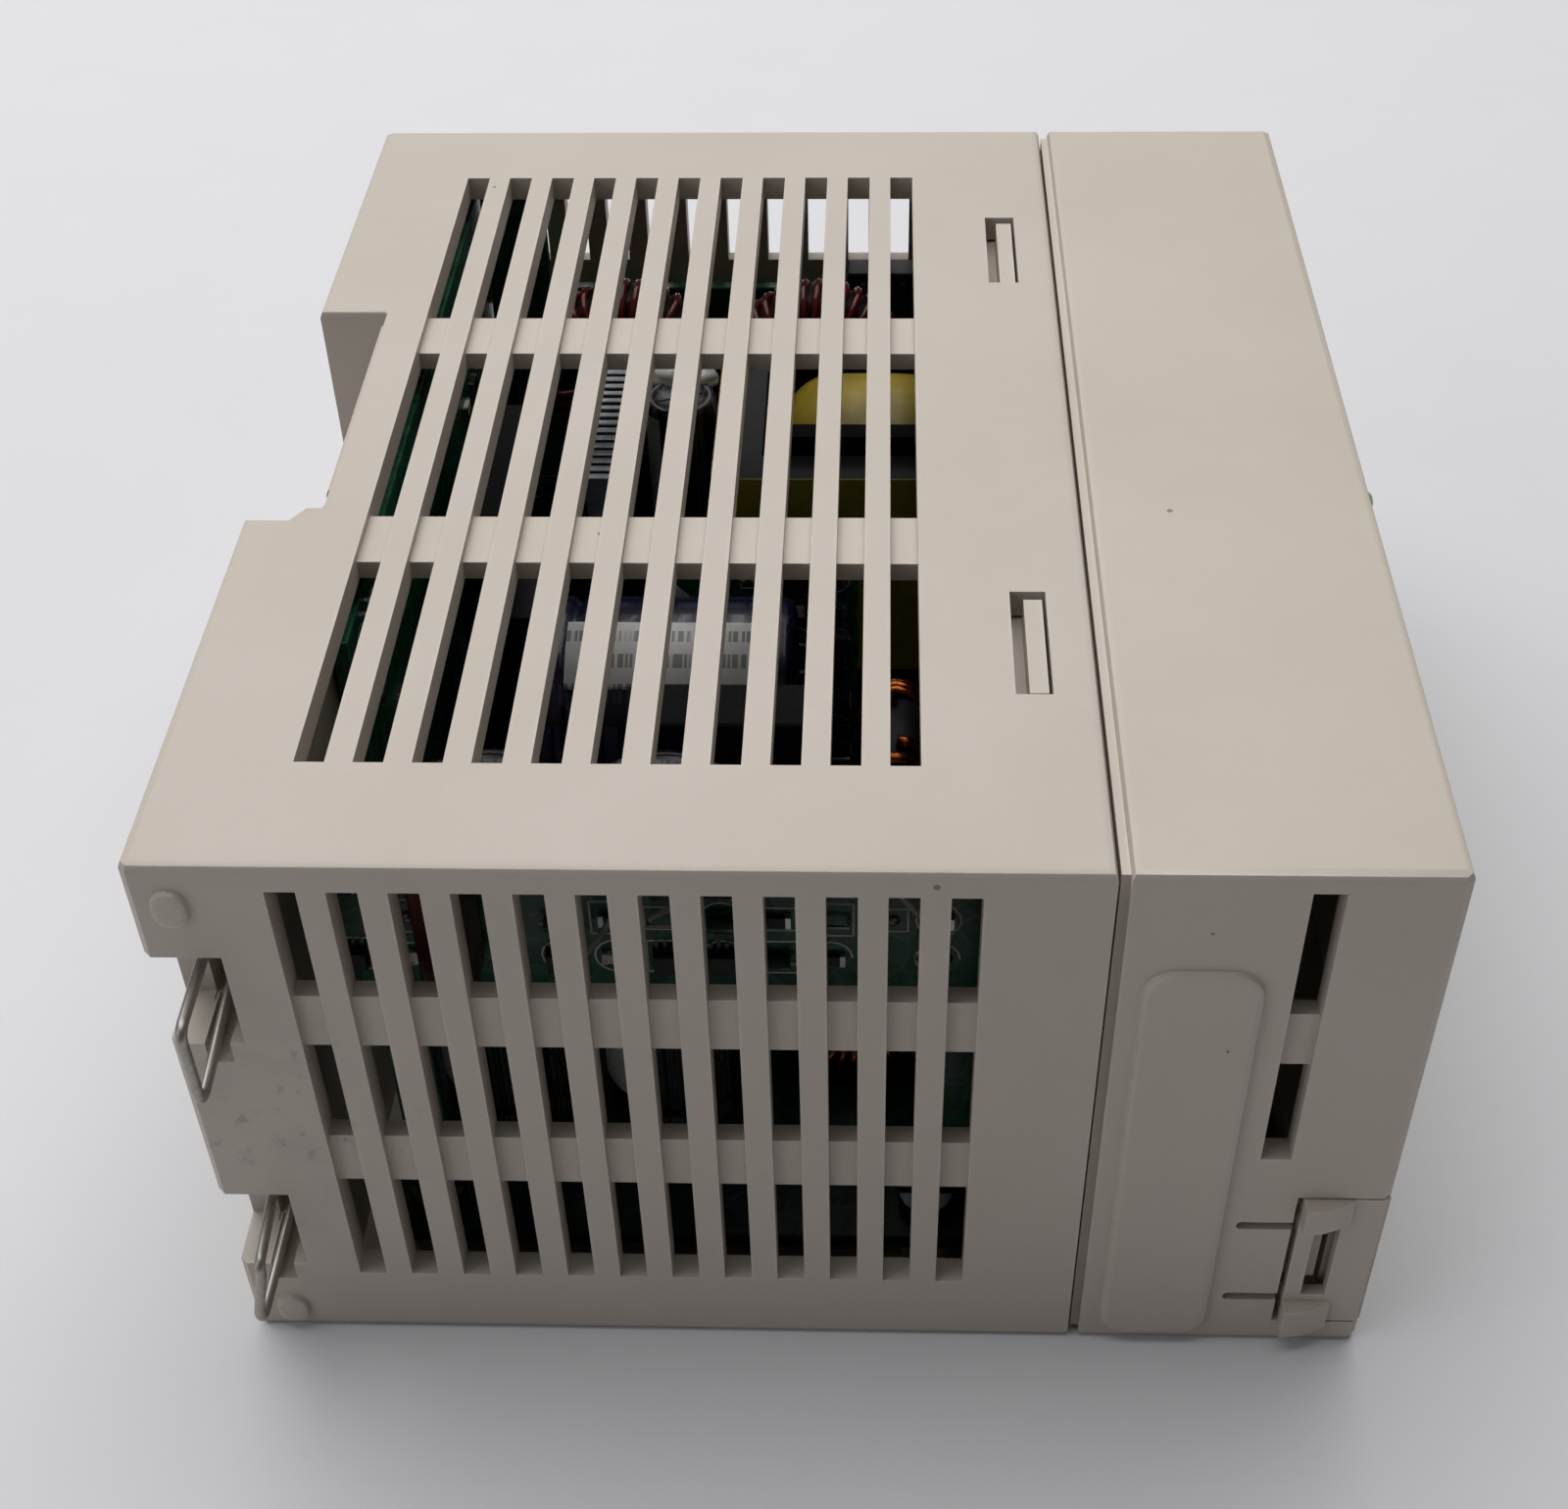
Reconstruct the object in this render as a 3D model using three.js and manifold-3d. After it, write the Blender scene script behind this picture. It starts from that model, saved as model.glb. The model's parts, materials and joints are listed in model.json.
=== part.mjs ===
// Power supply for a 35 mm DIN rail, lying on its right-hand side.
// X runs from the rail to the front, Y from the bottom of the unit to its top, Z across its width.
import * as THREE from 'three';
import { mergeVertices } from 'three/addons/utils/BufferGeometryUtils.js';
import Module from 'manifold-3d';

const wasm = await Module();
wasm.setup();

// Case
const height = 125;
const depth = 103;
const width = 60;
const wall = 2.6;
const coverWall = 2.4;
const cornerChamfer = 0.65;
const edgeRadius = 0.8;
const seamX = 76.3;
const seamGap = 1;
const skirtDepth = 7.3;
const skirtWall = 1.4;
const rimDepth = 0.8;
const rimGap = 0.25;
const fit = 0.3;
const rest = 0.15;

// Channel for the rail
const channelBase = 6.7;
const channelLow = 48.2;
const channelHigh = 83.2;
const backWallX = 9;
const reliefDepth = 0.4;
const reliefWidth = 2.6;

// Slots
const slotWidth = 2.45;
const slotRecess = 0.8;
const sideSlots = { first: 11.4, pitch: 4.77, count: 11, rows: [[12.2, 40.4], [47.5, 76.2], [83.2, 112.9]] };
const endSlots = { first: 11, pitch: 4.8, count: 12, rows: [[8.4, 21.2], [27.2, 38.9], [44.8, 57.3]] };
const coverSlot = { x: 91, width: 2.6, rows: [[26.5, 37.9], [43.9, 58.1]] };

// Snap windows that hold the front cover
const snapX = 69.4;
const snapWidth = 3.1;
const snapRows = [[21.3, 35.3], [89.2, 103.4]];

// Rail latches
const latchCentres = { right: 14.7, left: 44.85 };
const notchDepthX = 6.3;
const notchDepthY = 6;
const notchHalf = 5.1;
const pocketLow = 2.6;
const pocketHigh = 6.9;
const pocketHalf = 4.9;
const hookHalf = 7;
const postLow = 18;
const postHigh = 20;
const postHalf = 1.6;
const windowHigh = 32;
const windowHalf = 2.2;
const tipReach = 50.2;
const wireRadius = 0.48;

// Terminal doors
const doorLow = 3.2;
const doorHigh = 21.1;
const doorThick = 1.8;
const lipThick = 1.2;
const doorHinge = 42;
const lipX = 95.5;
const knuckle = 1.8;
const slitX = 90.5;
const slitHalf = 0.52;
const chamberX = 94.3;
const ledgeX = 100.7;
const chamber = { d: [6, 39.4], z: [5, 19.2] };

// Circuit boards
const boardThick = 1.6;
const boardZ = 6.6;
const boardTop = boardZ + boardThick;
const partZ = boardTop + rest;

// Front controls
const ledY = 57;
const ledZ = 54.5;
const ledRadius = 1.6;
const ledReach = 105;
const trimmerY = 66;
const trimmerZ = 47;
const trimmerRadius = 2.2;
const frontLabel = { y: [8, 42], z: [27, 56] };
const labelDepth = 0.3;

// Solids

function solidOf(geometry) {
  const bare = geometry.clone();
  bare.deleteAttribute('normal');
  bare.deleteAttribute('uv');
  const merged = mergeVertices(bare, 1e-5);
  return new wasm.Manifold(new wasm.Mesh({
    numProp: 3,
    vertProperties: new Float32Array(merged.attributes.position.array),
    triVerts: new Uint32Array(merged.index.array),
  }));
}

function box(x, y, z) {
  const geometry = new THREE.BoxGeometry(x[1] - x[0], y[1] - y[0], z[1] - z[0]);
  geometry.translate((x[0] + x[1]) / 2, (y[0] + y[1]) / 2, (z[0] + z[1]) / 2);
  return solidOf(geometry);
}

function rod(axis, centre, radius, span, sides = 20) {
  const geometry = new THREE.CylinderGeometry(radius, radius, span[1] - span[0], sides);
  const middle = (span[0] + span[1]) / 2;
  if (axis === 'x') {
    geometry.rotateZ(-Math.PI / 2);
    geometry.translate(middle, centre[0], centre[1]);
  } else if (axis === 'y') {
    geometry.translate(centre[0], middle, centre[1]);
  } else {
    geometry.rotateX(Math.PI / 2);
    geometry.translate(centre[0], centre[1], middle);
  }
  return solidOf(geometry);
}

function ring(axis, centre, radius, tube, around = 24, section = 8) {
  const geometry = new THREE.TorusGeometry(radius, tube, section, around);
  if (axis === 'x') {
    geometry.rotateY(Math.PI / 2);
  } else if (axis === 'y') {
    geometry.rotateX(Math.PI / 2);
  }
  geometry.translate(...centre);
  return solidOf(geometry);
}

// Turns a profile of [radius, height] points about the X axis, standing on a given point.
function turnedX(profile, origin, sides) {
  const geometry = new THREE.LatheGeometry(profile.map(([r, h]) => new THREE.Vector2(r, h)), sides);
  geometry.rotateZ(-Math.PI / 2);
  geometry.translate(...origin);
  return solidOf(geometry);
}

// Extrudes an outline of [x, y] points along Z.
function prism(outline, z, bevel = 0) {
  const shape = new THREE.Shape(outline.map(([x, y]) => new THREE.Vector2(x, y)));
  const geometry = new THREE.ExtrudeGeometry(shape, {
    depth: z[1] - z[0] - 2 * bevel,
    bevelEnabled: bevel > 0,
    bevelSize: bevel,
    bevelOffset: -bevel,
    bevelThickness: bevel,
    bevelSegments: 2,
  });
  geometry.translate(0, 0, z[0] + bevel);
  return solidOf(geometry);
}

function roundRect(x, y, radius, steps = 4) {
  const corners = [
    [x[1] - radius, y[0] + radius, -Math.PI / 2],
    [x[1] - radius, y[1] - radius, 0],
    [x[0] + radius, y[1] - radius, Math.PI / 2],
    [x[0] + radius, y[0] + radius, Math.PI],
  ];
  const outline = [];
  for (const [cx, cy, start] of corners) {
    for (let i = 0; i <= steps; i += 1) {
      const angle = start + (i / steps) * (Math.PI / 2);
      outline.push([cx + radius * Math.cos(angle), cy + radius * Math.sin(angle)]);
    }
  }
  return outline;
}

// A plate with rounded corners in XZ that spans a stretch of Y, its edges bevelled.
function slabY(x, z, y, radius, bevel = 0) {
  const geometry = new THREE.ExtrudeGeometry(
    new THREE.Shape(roundRect(x, z, radius).map(([a, b]) => new THREE.Vector2(a, b))),
    {
      depth: y[1] - y[0] - 2 * bevel,
      bevelEnabled: bevel > 0,
      bevelSize: bevel,
      bevelOffset: -bevel,
      bevelThickness: bevel,
      bevelSegments: 2,
    },
  );
  geometry.translate(0, 0, bevel);
  geometry.rotateX(Math.PI / 2);
  geometry.translate(0, y[1], 0);
  return solidOf(geometry);
}

function tube(path, radius, steps, sides) {
  const section = new THREE.Shape();
  for (let i = 0; i < sides; i += 1) {
    const angle = (i / sides) * 2 * Math.PI;
    const x = radius * Math.cos(angle);
    const y = radius * Math.sin(angle);
    if (i === 0) {
      section.moveTo(x, y);
    } else {
      section.lineTo(x, y);
    }
  }
  return solidOf(new THREE.ExtrudeGeometry(section, { steps, extrudePath: path, bevelEnabled: false }));
}

function joined(solids) {
  return solids.reduce((whole, solid) => whole.add(solid));
}

function cut(whole, solids) {
  return whole.subtract(joined(solids));
}

// Object tree

const part = new THREE.Group();

const finishes = {
  case: [0xc8c0b2, 0.6, 0],
  steel: [0x9a9893, 0.35, 0.9],
  spring: [0x8c8f92, 0.3, 1],
  board: [0x1d5b3a, 0.5, 0],
  blueSleeve: [0x1b2350, 0.35, 0],
  blackSleeve: [0x16161a, 0.4, 0],
  redFilm: [0x8a3a1e, 0.45, 0],
  greyFilm: [0x3c3e42, 0.5, 0],
  blueDisc: [0x2c5fa8, 0.5, 0],
  greenDisc: [0x1c3b2a, 0.5, 0],
  ferrite: [0x2b2a2c, 0.55, 0.1],
  bobbin: [0x20201f, 0.5, 0],
  tape: [0xe2c63c, 0.4, 0],
  redWire: [0x6d1512, 0.3, 0.3],
  copper: [0xb5622c, 0.3, 0.8],
  aluminium: [0xb9bcc0, 0.4, 0.9],
  anodised: [0x232427, 0.5, 0.6],
  chip: [0x1a1a1c, 0.5, 0],
  glass: [0xdfe6e4, 0.1, 0],
  terminal: [0x2a2a28, 0.5, 0],
  screw: [0xc2c4c6, 0.3, 1],
  lens: [0x3fae4c, 0.2, 0],
  trimmer: [0x2f5fa0, 0.5, 0],
  rotor: [0xe8e4d8, 0.5, 0],
};

function addPiece(name, solid, finish) {
  const source = solid.getMesh();
  const geometry = new THREE.BufferGeometry();
  const vertices = Float32Array.from(source.vertProperties);
  geometry.setAttribute('position', new THREE.BufferAttribute(vertices, 3));
  geometry.setIndex(new THREE.BufferAttribute(Uint32Array.from(source.triVerts), 1));
  geometry.computeVertexNormals();
  const [color, roughness, metalness] = finishes[finish];
  const mesh = new THREE.Mesh(geometry, new THREE.MeshStandardMaterial({ color, roughness, metalness }));
  mesh.name = name;
  part.add(mesh);
}

// Rear case: a tub with the rail channel across its back

function slotCutters(grid, makeCutter, recess, through) {
  const cutters = [];
  for (let column = 0; column < grid.count; column += 1) {
    const x = [grid.first + column * grid.pitch, grid.first + column * grid.pitch + slotWidth];
    cutters.push(makeCutter(x, [grid.rows[0][0], grid.rows.at(-1)[1]], recess));
    for (const row of grid.rows) {
      cutters.push(makeCutter(x, row, through));
    }
  }
  return cutters;
}

function buildRearCase() {
  const body = prism([
    [cornerChamfer, 0],
    [seamX, 0],
    [seamX, height],
    [cornerChamfer, height],
    [0, height - cornerChamfer],
    [0, channelHigh],
    [channelBase, channelHigh],
    [channelBase, channelLow],
    [channelBase - 1.3, channelLow],
    [channelBase - 2.6, channelLow - 2],
    [0, channelLow - 2],
    [0, cornerChamfer],
  ], [0, width], edgeRadius);
  const inside = [wall, width - wall];
  const cutters = [
    box([backWallX, seamX + 1], [wall, height - wall], inside),
    box([wall, backWallX + 1], [channelHigh + wall, height - wall], inside),
    box([channelBase - 1, channelBase + reliefDepth], [channelLow, channelLow + reliefWidth], [-1, width + 1]),
    box([channelBase - 1, channelBase + reliefDepth], [channelHigh - reliefWidth, channelHigh], [-1, width + 1]),
  ];
  for (const [z, out] of [[width, 1], [0, -1]]) {
    const span = (inner) => [z - out * inner, z + out].sort((a, b) => a - b);
    cutters.push(...slotCutters(sideSlots, (x, y, inner) => box(x, y, span(inner)), slotRecess, wall + 1));
    for (const row of snapRows) {
      cutters.push(box([snapX, snapX + snapWidth], row, span(wall + 1)));
    }
  }
  for (const [y, out] of [[0, -1], [height, 1]]) {
    const span = (inner) => [y - out * inner, y + out].sort((a, b) => a - b);
    cutters.push(...slotCutters(endSlots, (x, z, inner) => box(x, span(inner), z), slotRecess, wall + 1));
  }
  const posts = [];
  for (const z of Object.values(latchCentres)) {
    const half = [z - pocketHalf - fit, z + pocketHalf + fit];
    const notch = [z - notchHalf, z + notchHalf];
    cutters.push(box([-1, notchDepthX], [-1, notchDepthY], notch));
    cutters.push(box([2.9, 5], [-1, notchDepthY], [z - notchHalf - 2.2, z]));
    cutters.push(box([pocketLow, pocketHigh], [notchDepthY - 1, channelLow + 1], half));
    cutters.push(box([-1, pocketLow + 1], [notchDepthY + 4, channelLow - 8], [z - 2.6, z + 2.6]));
    posts.push(box([pocketLow + fit, pocketHigh + 1], [postLow, postHigh], [z - postHalf, z + postHalf]));
    posts.push(prism([
      [channelBase - 2.9, channelHigh + 1],
      [channelBase - 2.9, channelHigh - 1],
      [channelBase - 2.4, channelHigh - 1.5],
      [channelBase - 1.4, channelHigh - 1.5],
      [channelBase - 1.4, channelHigh + 1],
    ], [z - hookHalf, z + hookHalf]));
  }
  const bosses = [];
  const pilots = [];
  for (const [x, y] of boardScrews) {
    bosses.push(rod('z', [x, y], 3, [wall - 0.5, boardZ - rest], 16));
    pilots.push(rod('z', [x, y], 1.7, [wall + 0.4, boardZ + 1], 12));
  }
  const feet = [[3.4, width - 4.5], [3.9, 3]].map(([x, z]) => (
    slabY([x - 1.5, x + 1.5], [z - 1.9, z + 1.9], [-0.6, 1], 1.4, 0.5)
  ));
  return cut(cut(body, cutters).add(joined([...posts, ...bosses, ...feet])), pilots);
}

// Front cover: a cap with a skirt that slides inside the rear case

const coverX = seamX + seamGap;

// Distance from either end of the unit, for the two terminal chambers.
function fromEnd(end, d) {
  const y = end === 'near' ? d : d.map((value) => height - value);
  return [...y].sort((a, b) => a - b);
}

function buildFrontCover() {
  const outline = [
    [coverX, 0],
    [depth - cornerChamfer, 0],
    [depth, cornerChamfer],
    [depth, height - cornerChamfer],
    [depth - cornerChamfer, height],
    [coverX, height],
  ];
  const inset = wall + fit;
  const skirtX = coverX - skirtDepth - seamGap;
  const rim = (low, high) => [low + rimDepth, high - rimDepth];
  const shell = joined([
    prism(outline, [0, width], edgeRadius),
    box([skirtX, coverX + 0.5], [inset, height - inset], [inset, width - inset]),
    box([seamX + rimGap, coverX + 0.5], rim(0, height), rim(0, width)),
  ]);
  const inner = inset + skirtWall;
  const hollow = [
    box([coverX + 2, depth - coverWall], [coverWall, height - coverWall], [coverWall, width - coverWall]),
    box([skirtX - 1, coverX + 3], [inner, height - inner], [inner, width - inner]),
    box([depth - labelDepth, depth + 1], frontLabel.y, frontLabel.z),
  ];
  let cover = cut(shell, hollow);
  const hooks = [];
  for (const row of snapRows) {
    const y = [row[0] + 0.6, row[1] - 0.6];
    const x = [snapX + 1.2, snapX + snapWidth - fit];
    hooks.push(box(x, y, [0.4, inner]), box(x, y, [width - inner, width - 0.4]));
  }
  const blocks = [];
  const cutters = [];
  const tongues = [];
  for (const end of ['near', 'far']) {
    const z = [doorLow - 0.2, doorHigh + 0.2];
    blocks.push(box([chamberX, depth - 1], fromEnd(end, [2, doorHinge + 4.4]), [2, doorHigh + 2]));
    cutters.push(
      box([ledgeX, depth + 1], fromEnd(end, [-1, doorHinge + knuckle + 0.4]), z),
      box([lipX - 0.6, depth + 1], fromEnd(end, [-2, 2]), z),
      box([chamberX - 1, depth], fromEnd(end, chamber.d), chamber.z),
      box([ledgeX - 1.8, depth], fromEnd(end, [doorHinge - knuckle - 0.4, doorHinge + knuckle + 0.4]), z),
      rod('z', [ledgeX + 0.5, fromEnd(end, [doorHinge])[0]], 1.2, [1.4, doorHigh + 1.8], 16),
      box([lipX - 3, lipX + 3.4], fromEnd(end, [1.9, 4.2]), [6.2, 17.8]),
      ...[17.25, 6.75].flatMap((middle) => [
        box([slitX, lipX], fromEnd(end, [-1, 4]), [middle - slitHalf, middle + slitHalf]),
        rod('y', [slitX, middle], slitHalf, fromEnd(end, [-1, 4]), 12),
      ]),
      box([coverSlot.x, coverSlot.x + coverSlot.width], fromEnd(end, [-1, slotRecess]), [
        coverSlot.rows[0][0], coverSlot.rows[1][1]]),
    );
    for (const row of coverSlot.rows) {
      cutters.push(box([coverSlot.x, coverSlot.x + coverSlot.width], fromEnd(end, [-1, wall + 1]), row));
    }
    tongues.push(
      box([lipX - 2.6, lipX + 2.7], fromEnd(end, [2, 3.2]), [7.8, 16.2]),
      box([lipX - 2.6, lipX - fit], fromEnd(end, [0.9, 3]), [7.8, 16.2]),
      box([lipX + 1.9, lipX + 2.7], fromEnd(end, [lipThick + 0.2, 3]), [8.2, 15.8]),
      slabY([79.1, 88.8], [1.4, 49.6], fromEnd(end, [-0.65, 1]), 2.6, 0.55),
    );
  }
  cutters.push(
    rod('x', [ledY, ledZ], ledRadius + fit, [depth - 5, depth + 1], 20),
    rod('x', [trimmerY, trimmerZ], trimmerRadius + 0.4, [depth - 5, depth + 1], 24),
  );
  cover = cut(joined([cover, ...hooks, ...blocks]), cutters);
  return joined([cover, ...tongues]);
}

const boardScrews = [[17, 9], [17, 116], [63, 9], [63, 116]];

addPiece('rear_case', buildRearCase(), 'case');
addPiece('front_cover', buildFrontCover(), 'case');

// Rail latches, each with its wire pull loop and return spring

function buildLatch(z) {
  const gap = fit;
  const half = [z - pocketHalf, z + pocketHalf];
  const low = pocketLow + gap;
  const high = pocketHigh - gap;
  const foot = 9.4;
  const body = box([low, high], [foot, channelLow - 2.4], half);
  const tip = prism([
    [channelBase - 3.2, channelLow - 3],
    [channelBase - 1.2, channelLow - 3],
    [channelBase - 1.2, tipReach - 0.6],
    [channelBase - 1.8, tipReach],
    [channelBase - 3.2, tipReach - 1.6],
  ], half);
  const tab = box([0.8, low + 0.5], [windowHigh + 0.4, windowHigh + 2.4], [z - windowHalf, z + windowHalf]);
  const window = box([low - 1, high + 1], [postLow - gap, windowHigh], [z - windowHalf, z + windowHalf]);
  const bores = [-1, 1].map((side) => rod('y', [4.3, z + side * 3.6], wireRadius + 0.2, [foot - 1, foot + 6.5], 10));
  return cut(joined([body, tip, tab]), [window, ...bores]);
}

function buildLoop(z, lean) {
  const legTop = 15;
  const bend = 1.4;
  const reach = -5.8;
  const droop = 1.5;
  const points = [
    [4.3, legTop, z + 3.6],
    [4.3, 8.4, z + 3.6],
    [4.1, 7, z + 3.5],
    [3.8 + lean, reach + bend, z + 4.1 - droop],
    [3.8 + lean, reach, z + 4.1 - droop - bend],
    [3.8 - lean, reach, z - 4.3 - droop + bend],
    [3.8 - lean, reach + bend, z - 4.3 - droop],
    [4.1, 7, z - 3.7],
    [4.3, 8.4, z - 3.6],
    [4.3, legTop, z - 3.6],
  ].map((point) => new THREE.Vector3(...point));
  const path = new THREE.CurvePath();
  path.add(new THREE.LineCurve3(points[0], points[1]));
  path.add(new THREE.LineCurve3(points[1], points[2]));
  path.add(new THREE.LineCurve3(points[2], points[3]));
  path.add(new THREE.QuadraticBezierCurve3(points[3], new THREE.Vector3(points[3].x, reach, points[3].z), points[4]));
  path.add(new THREE.LineCurve3(points[4], points[5]));
  path.add(new THREE.QuadraticBezierCurve3(points[5], new THREE.Vector3(points[5].x, reach, points[6].z), points[6]));
  path.add(new THREE.LineCurve3(points[6], points[7]));
  path.add(new THREE.LineCurve3(points[7], points[8]));
  path.add(new THREE.LineCurve3(points[8], points[9]));
  return tube(path, wireRadius, 48, 7);
}

class Helix extends THREE.Curve {
  constructor(centre, radius, span, turns) {
    super();
    Object.assign(this, { centre, radius, span, turns });
  }

  getPoint(t, target = new THREE.Vector3()) {
    const angle = t * this.turns * 2 * Math.PI;
    return target.set(
      this.centre[0] + this.radius * Math.cos(angle),
      this.span[0] + t * (this.span[1] - this.span[0]),
      this.centre[1] + this.radius * Math.sin(angle),
    );
  }
}

const leans = { right: 0.6, left: 0 };
for (const [side, z] of Object.entries(latchCentres)) {
  addPiece(`rail_latch_${side}`, buildLatch(z), 'case');
  addPiece(`pull_loop_${side}`, buildLoop(z, leans[side]), 'steel');
  const coil = new Helix([(pocketLow + pocketHigh) / 2, z], 1.3, [postHigh + 0.5, windowHigh - 0.5], 5);
  addPiece(`latch_spring_${side}`, tube(coil, 0.25, 45, 5), 'spring');
}

// Terminal doors, blocks and screws at the two ends of the front

function buildDoor(end) {
  const z = [doorLow, doorHigh];
  const hingeX = ledgeX + 0.5;
  const hingeY = fromEnd(end, [doorHinge])[0];
  const plate = box([depth - doorThick, depth], fromEnd(end, [0, doorHinge]), z);
  const lip = box([lipX, depth], fromEnd(end, [0, lipThick]), z);
  const barrel = rod('z', [hingeX, hingeY], knuckle, z, 20);
  const pins = rod('z', [hingeX, hingeY], 0.95, [1.9, doorHigh + 1.3], 16);
  const grips = [
    gripWedge(end, [17.9, doorHigh], 0.5),
    gripWedge(end, [doorLow, 6.1], 0.5),
    gripWedge(end, [2.5, doorLow + 0.2], -0.2),
  ];
  const window = box([lipX + 1.5, lipX + 3.7], fromEnd(end, [-1, doorThick + 1]), [7.2, 17.6]);
  const round = 0.3;
  return cut(joined([plate, lip, barrel, pins, ...grips]), [window])
    .subtract(box([depth - round, depth + 1], fromEnd(end, [-2, round]), [-1, width]));
}

// A ramp that stands out of the door's lip, steep on the side that the finger pulls.
function gripWedge(end, z, root) {
  const points = [[0, root], [0, -1.5], [1.9, -1.3], [4.3, -0.35], [4.3, root]];
  const outline = points.map(([x, d]) => [lipX + x, fromEnd(end, [d])[0]]);
  return prism(outline, z);
}

function buildTerminalBlock(end) {
  const first = chamber.d[0] + 0.2;
  const pitch = 8.2;
  const body = box([84, chamberX - rest], fromEnd(end, [first, first + 4 * pitch]), [partZ, chamber.z[1] + 0.6]);
  const cutters = [];
  for (let i = 0; i < 4; i += 1) {
    const d = first + i * pitch;
    cutters.push(
      box([chamberX - 4, chamberX], fromEnd(end, [d + 0.8, d + pitch - 0.8]), [partZ + 0.8, chamber.z[1] - 0.4]),
      rod('x', [fromEnd(end, [d + pitch / 2])[0], 13.4], 1.9, [chamberX - 9, chamberX], 16),
    );
  }
  return cut(body, cutters);
}

function buildScrewX(y, z) {
  const head = rod('x', [y, z], 2.7, [chamberX - 3.7, chamberX - 1.4], 18);
  const shank = rod('x', [y, z], 1.6, [chamberX - 8.6, chamberX - 3], 14);
  const slot = box([chamberX - 2.2, chamberX], [y - 3, y + 3], [z - 0.35, z + 0.35]);
  return cut(head.add(shank), [slot]);
}

for (const [end, use] of [['near', 'input'], ['far', 'output']]) {
  addPiece(`${use}_terminal_door`, buildDoor(end), 'case');
  addPiece(`${use}_terminal_block`, buildTerminalBlock(end), 'terminal');
  for (let i = 0; i < 4; i += 1) {
    const y = fromEnd(end, [chamber.d[0] + 0.2 + (i + 0.5) * 8.2])[0];
    addPiece(`${use}_terminal_screw_${i + 1}`, buildScrewX(y, 13.4), 'screw');
  }
}

// Circuit boards and their fixings

const holes = boardScrews.map(([x, y]) => rod('z', [x, y], 1.8, [0, 12], 12));
addPiece('main_board', cut(box([12.5, 94], [5, 120], [boardZ, boardTop]), holes), 'board');
addPiece('driver_board', box([35, 56], [62.6, 64.2], [partZ, 47]), 'board');
addPiece('rear_board', box([9.4, 11], [34, 120], [partZ, 55]), 'board');
addPiece('control_board', joined([
  box([9.6, 68], [12, 13.6], [34, 54]),
  box([14, 18], [12, 13.6], [partZ, 35]),
  box([64, 68], [12, 13.6], [partZ, 35]),
]), 'board');
addPiece('filter_board', joined([
  box([11.4, 59.5], [118.8, 120.4], [partZ, 43]),
  box([11.4, 18.5], [118.8, 120.4], [40, 55]),
]), 'board');
addPiece('front_board', box([94.5, 96.1], [47, 77], [partZ - 1.5, 57]), 'board');
boardScrews.forEach(([x, y], i) => {
  const screw = joined([
    rod('z', [x, y], 2.6, [boardTop + 0.1, boardTop + 2], 14),
    rod('z', [x, y], 1.4, [wall + 1, boardTop + 0.5], 10),
  ]);
  const slots = [box([x - 3, x + 3], [y - 0.3, y + 0.3], [boardTop + 1.3, boardTop + 3])];
  addPiece(`board_screw_${i + 1}`, cut(screw, slots), 'screw');
});

// Indicator lamp and voltage trimmer

const lampFoot = 96.4;
addPiece('power_lamp', turnedX([
  [0, 0],
  [ledRadius + 0.4, 0],
  [ledRadius + 0.4, 1],
  [ledRadius, 1],
  [ledRadius, ledReach - lampFoot - ledRadius],
  [ledRadius * 0.87, ledReach - lampFoot - ledRadius * 0.5],
  [ledRadius * 0.5, ledReach - lampFoot - ledRadius * 0.13],
  [0, ledReach - lampFoot],
], [lampFoot, ledY, ledZ], 16), 'lens');
const rotorX = 100;
addPiece('trimmer_body', cut(
  box([96.3, 100.3], [trimmerY - 3.4, trimmerY + 3.4], [trimmerZ - 3.4, trimmerZ + 3.4]),
  [rod('x', [trimmerY, trimmerZ], trimmerRadius + 0.3, [rotorX - 1.5, rotorX + 2], 24)],
), 'trimmer');
addPiece('voltage_trimmer', cut(
  rod('x', [trimmerY, trimmerZ], trimmerRadius, [rotorX - 1.3, depth - 0.8], 24),
  [box([depth - 1.8, depth], [trimmerY - 3, trimmerY + 3], [trimmerZ - 0.4, trimmerZ + 0.4])],
), 'rotor');

// Capacitors

function canZ(centre, radius, top) {
  return turnedCan([centre[0], centre[1], partZ], radius, top - partZ);
}

function turnedCan(origin, radius, length) {
  const profile = [
    [0, 0],
    [radius - 0.3, 0],
    [radius, 0.4],
    [radius, 2],
    [radius - 0.6, 2.6],
    [radius, 3.2],
    [radius, length - 0.5],
    [radius - 0.7, length],
    [radius - 1.6, length],
    [radius - 1.7, length - 0.4],
    [0, length - 0.4],
  ].map(([r, h]) => new THREE.Vector2(r, h));
  const geometry = new THREE.LatheGeometry(profile, 18);
  geometry.rotateX(Math.PI / 2);
  geometry.translate(...origin);
  return solidOf(geometry);
}

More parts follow.
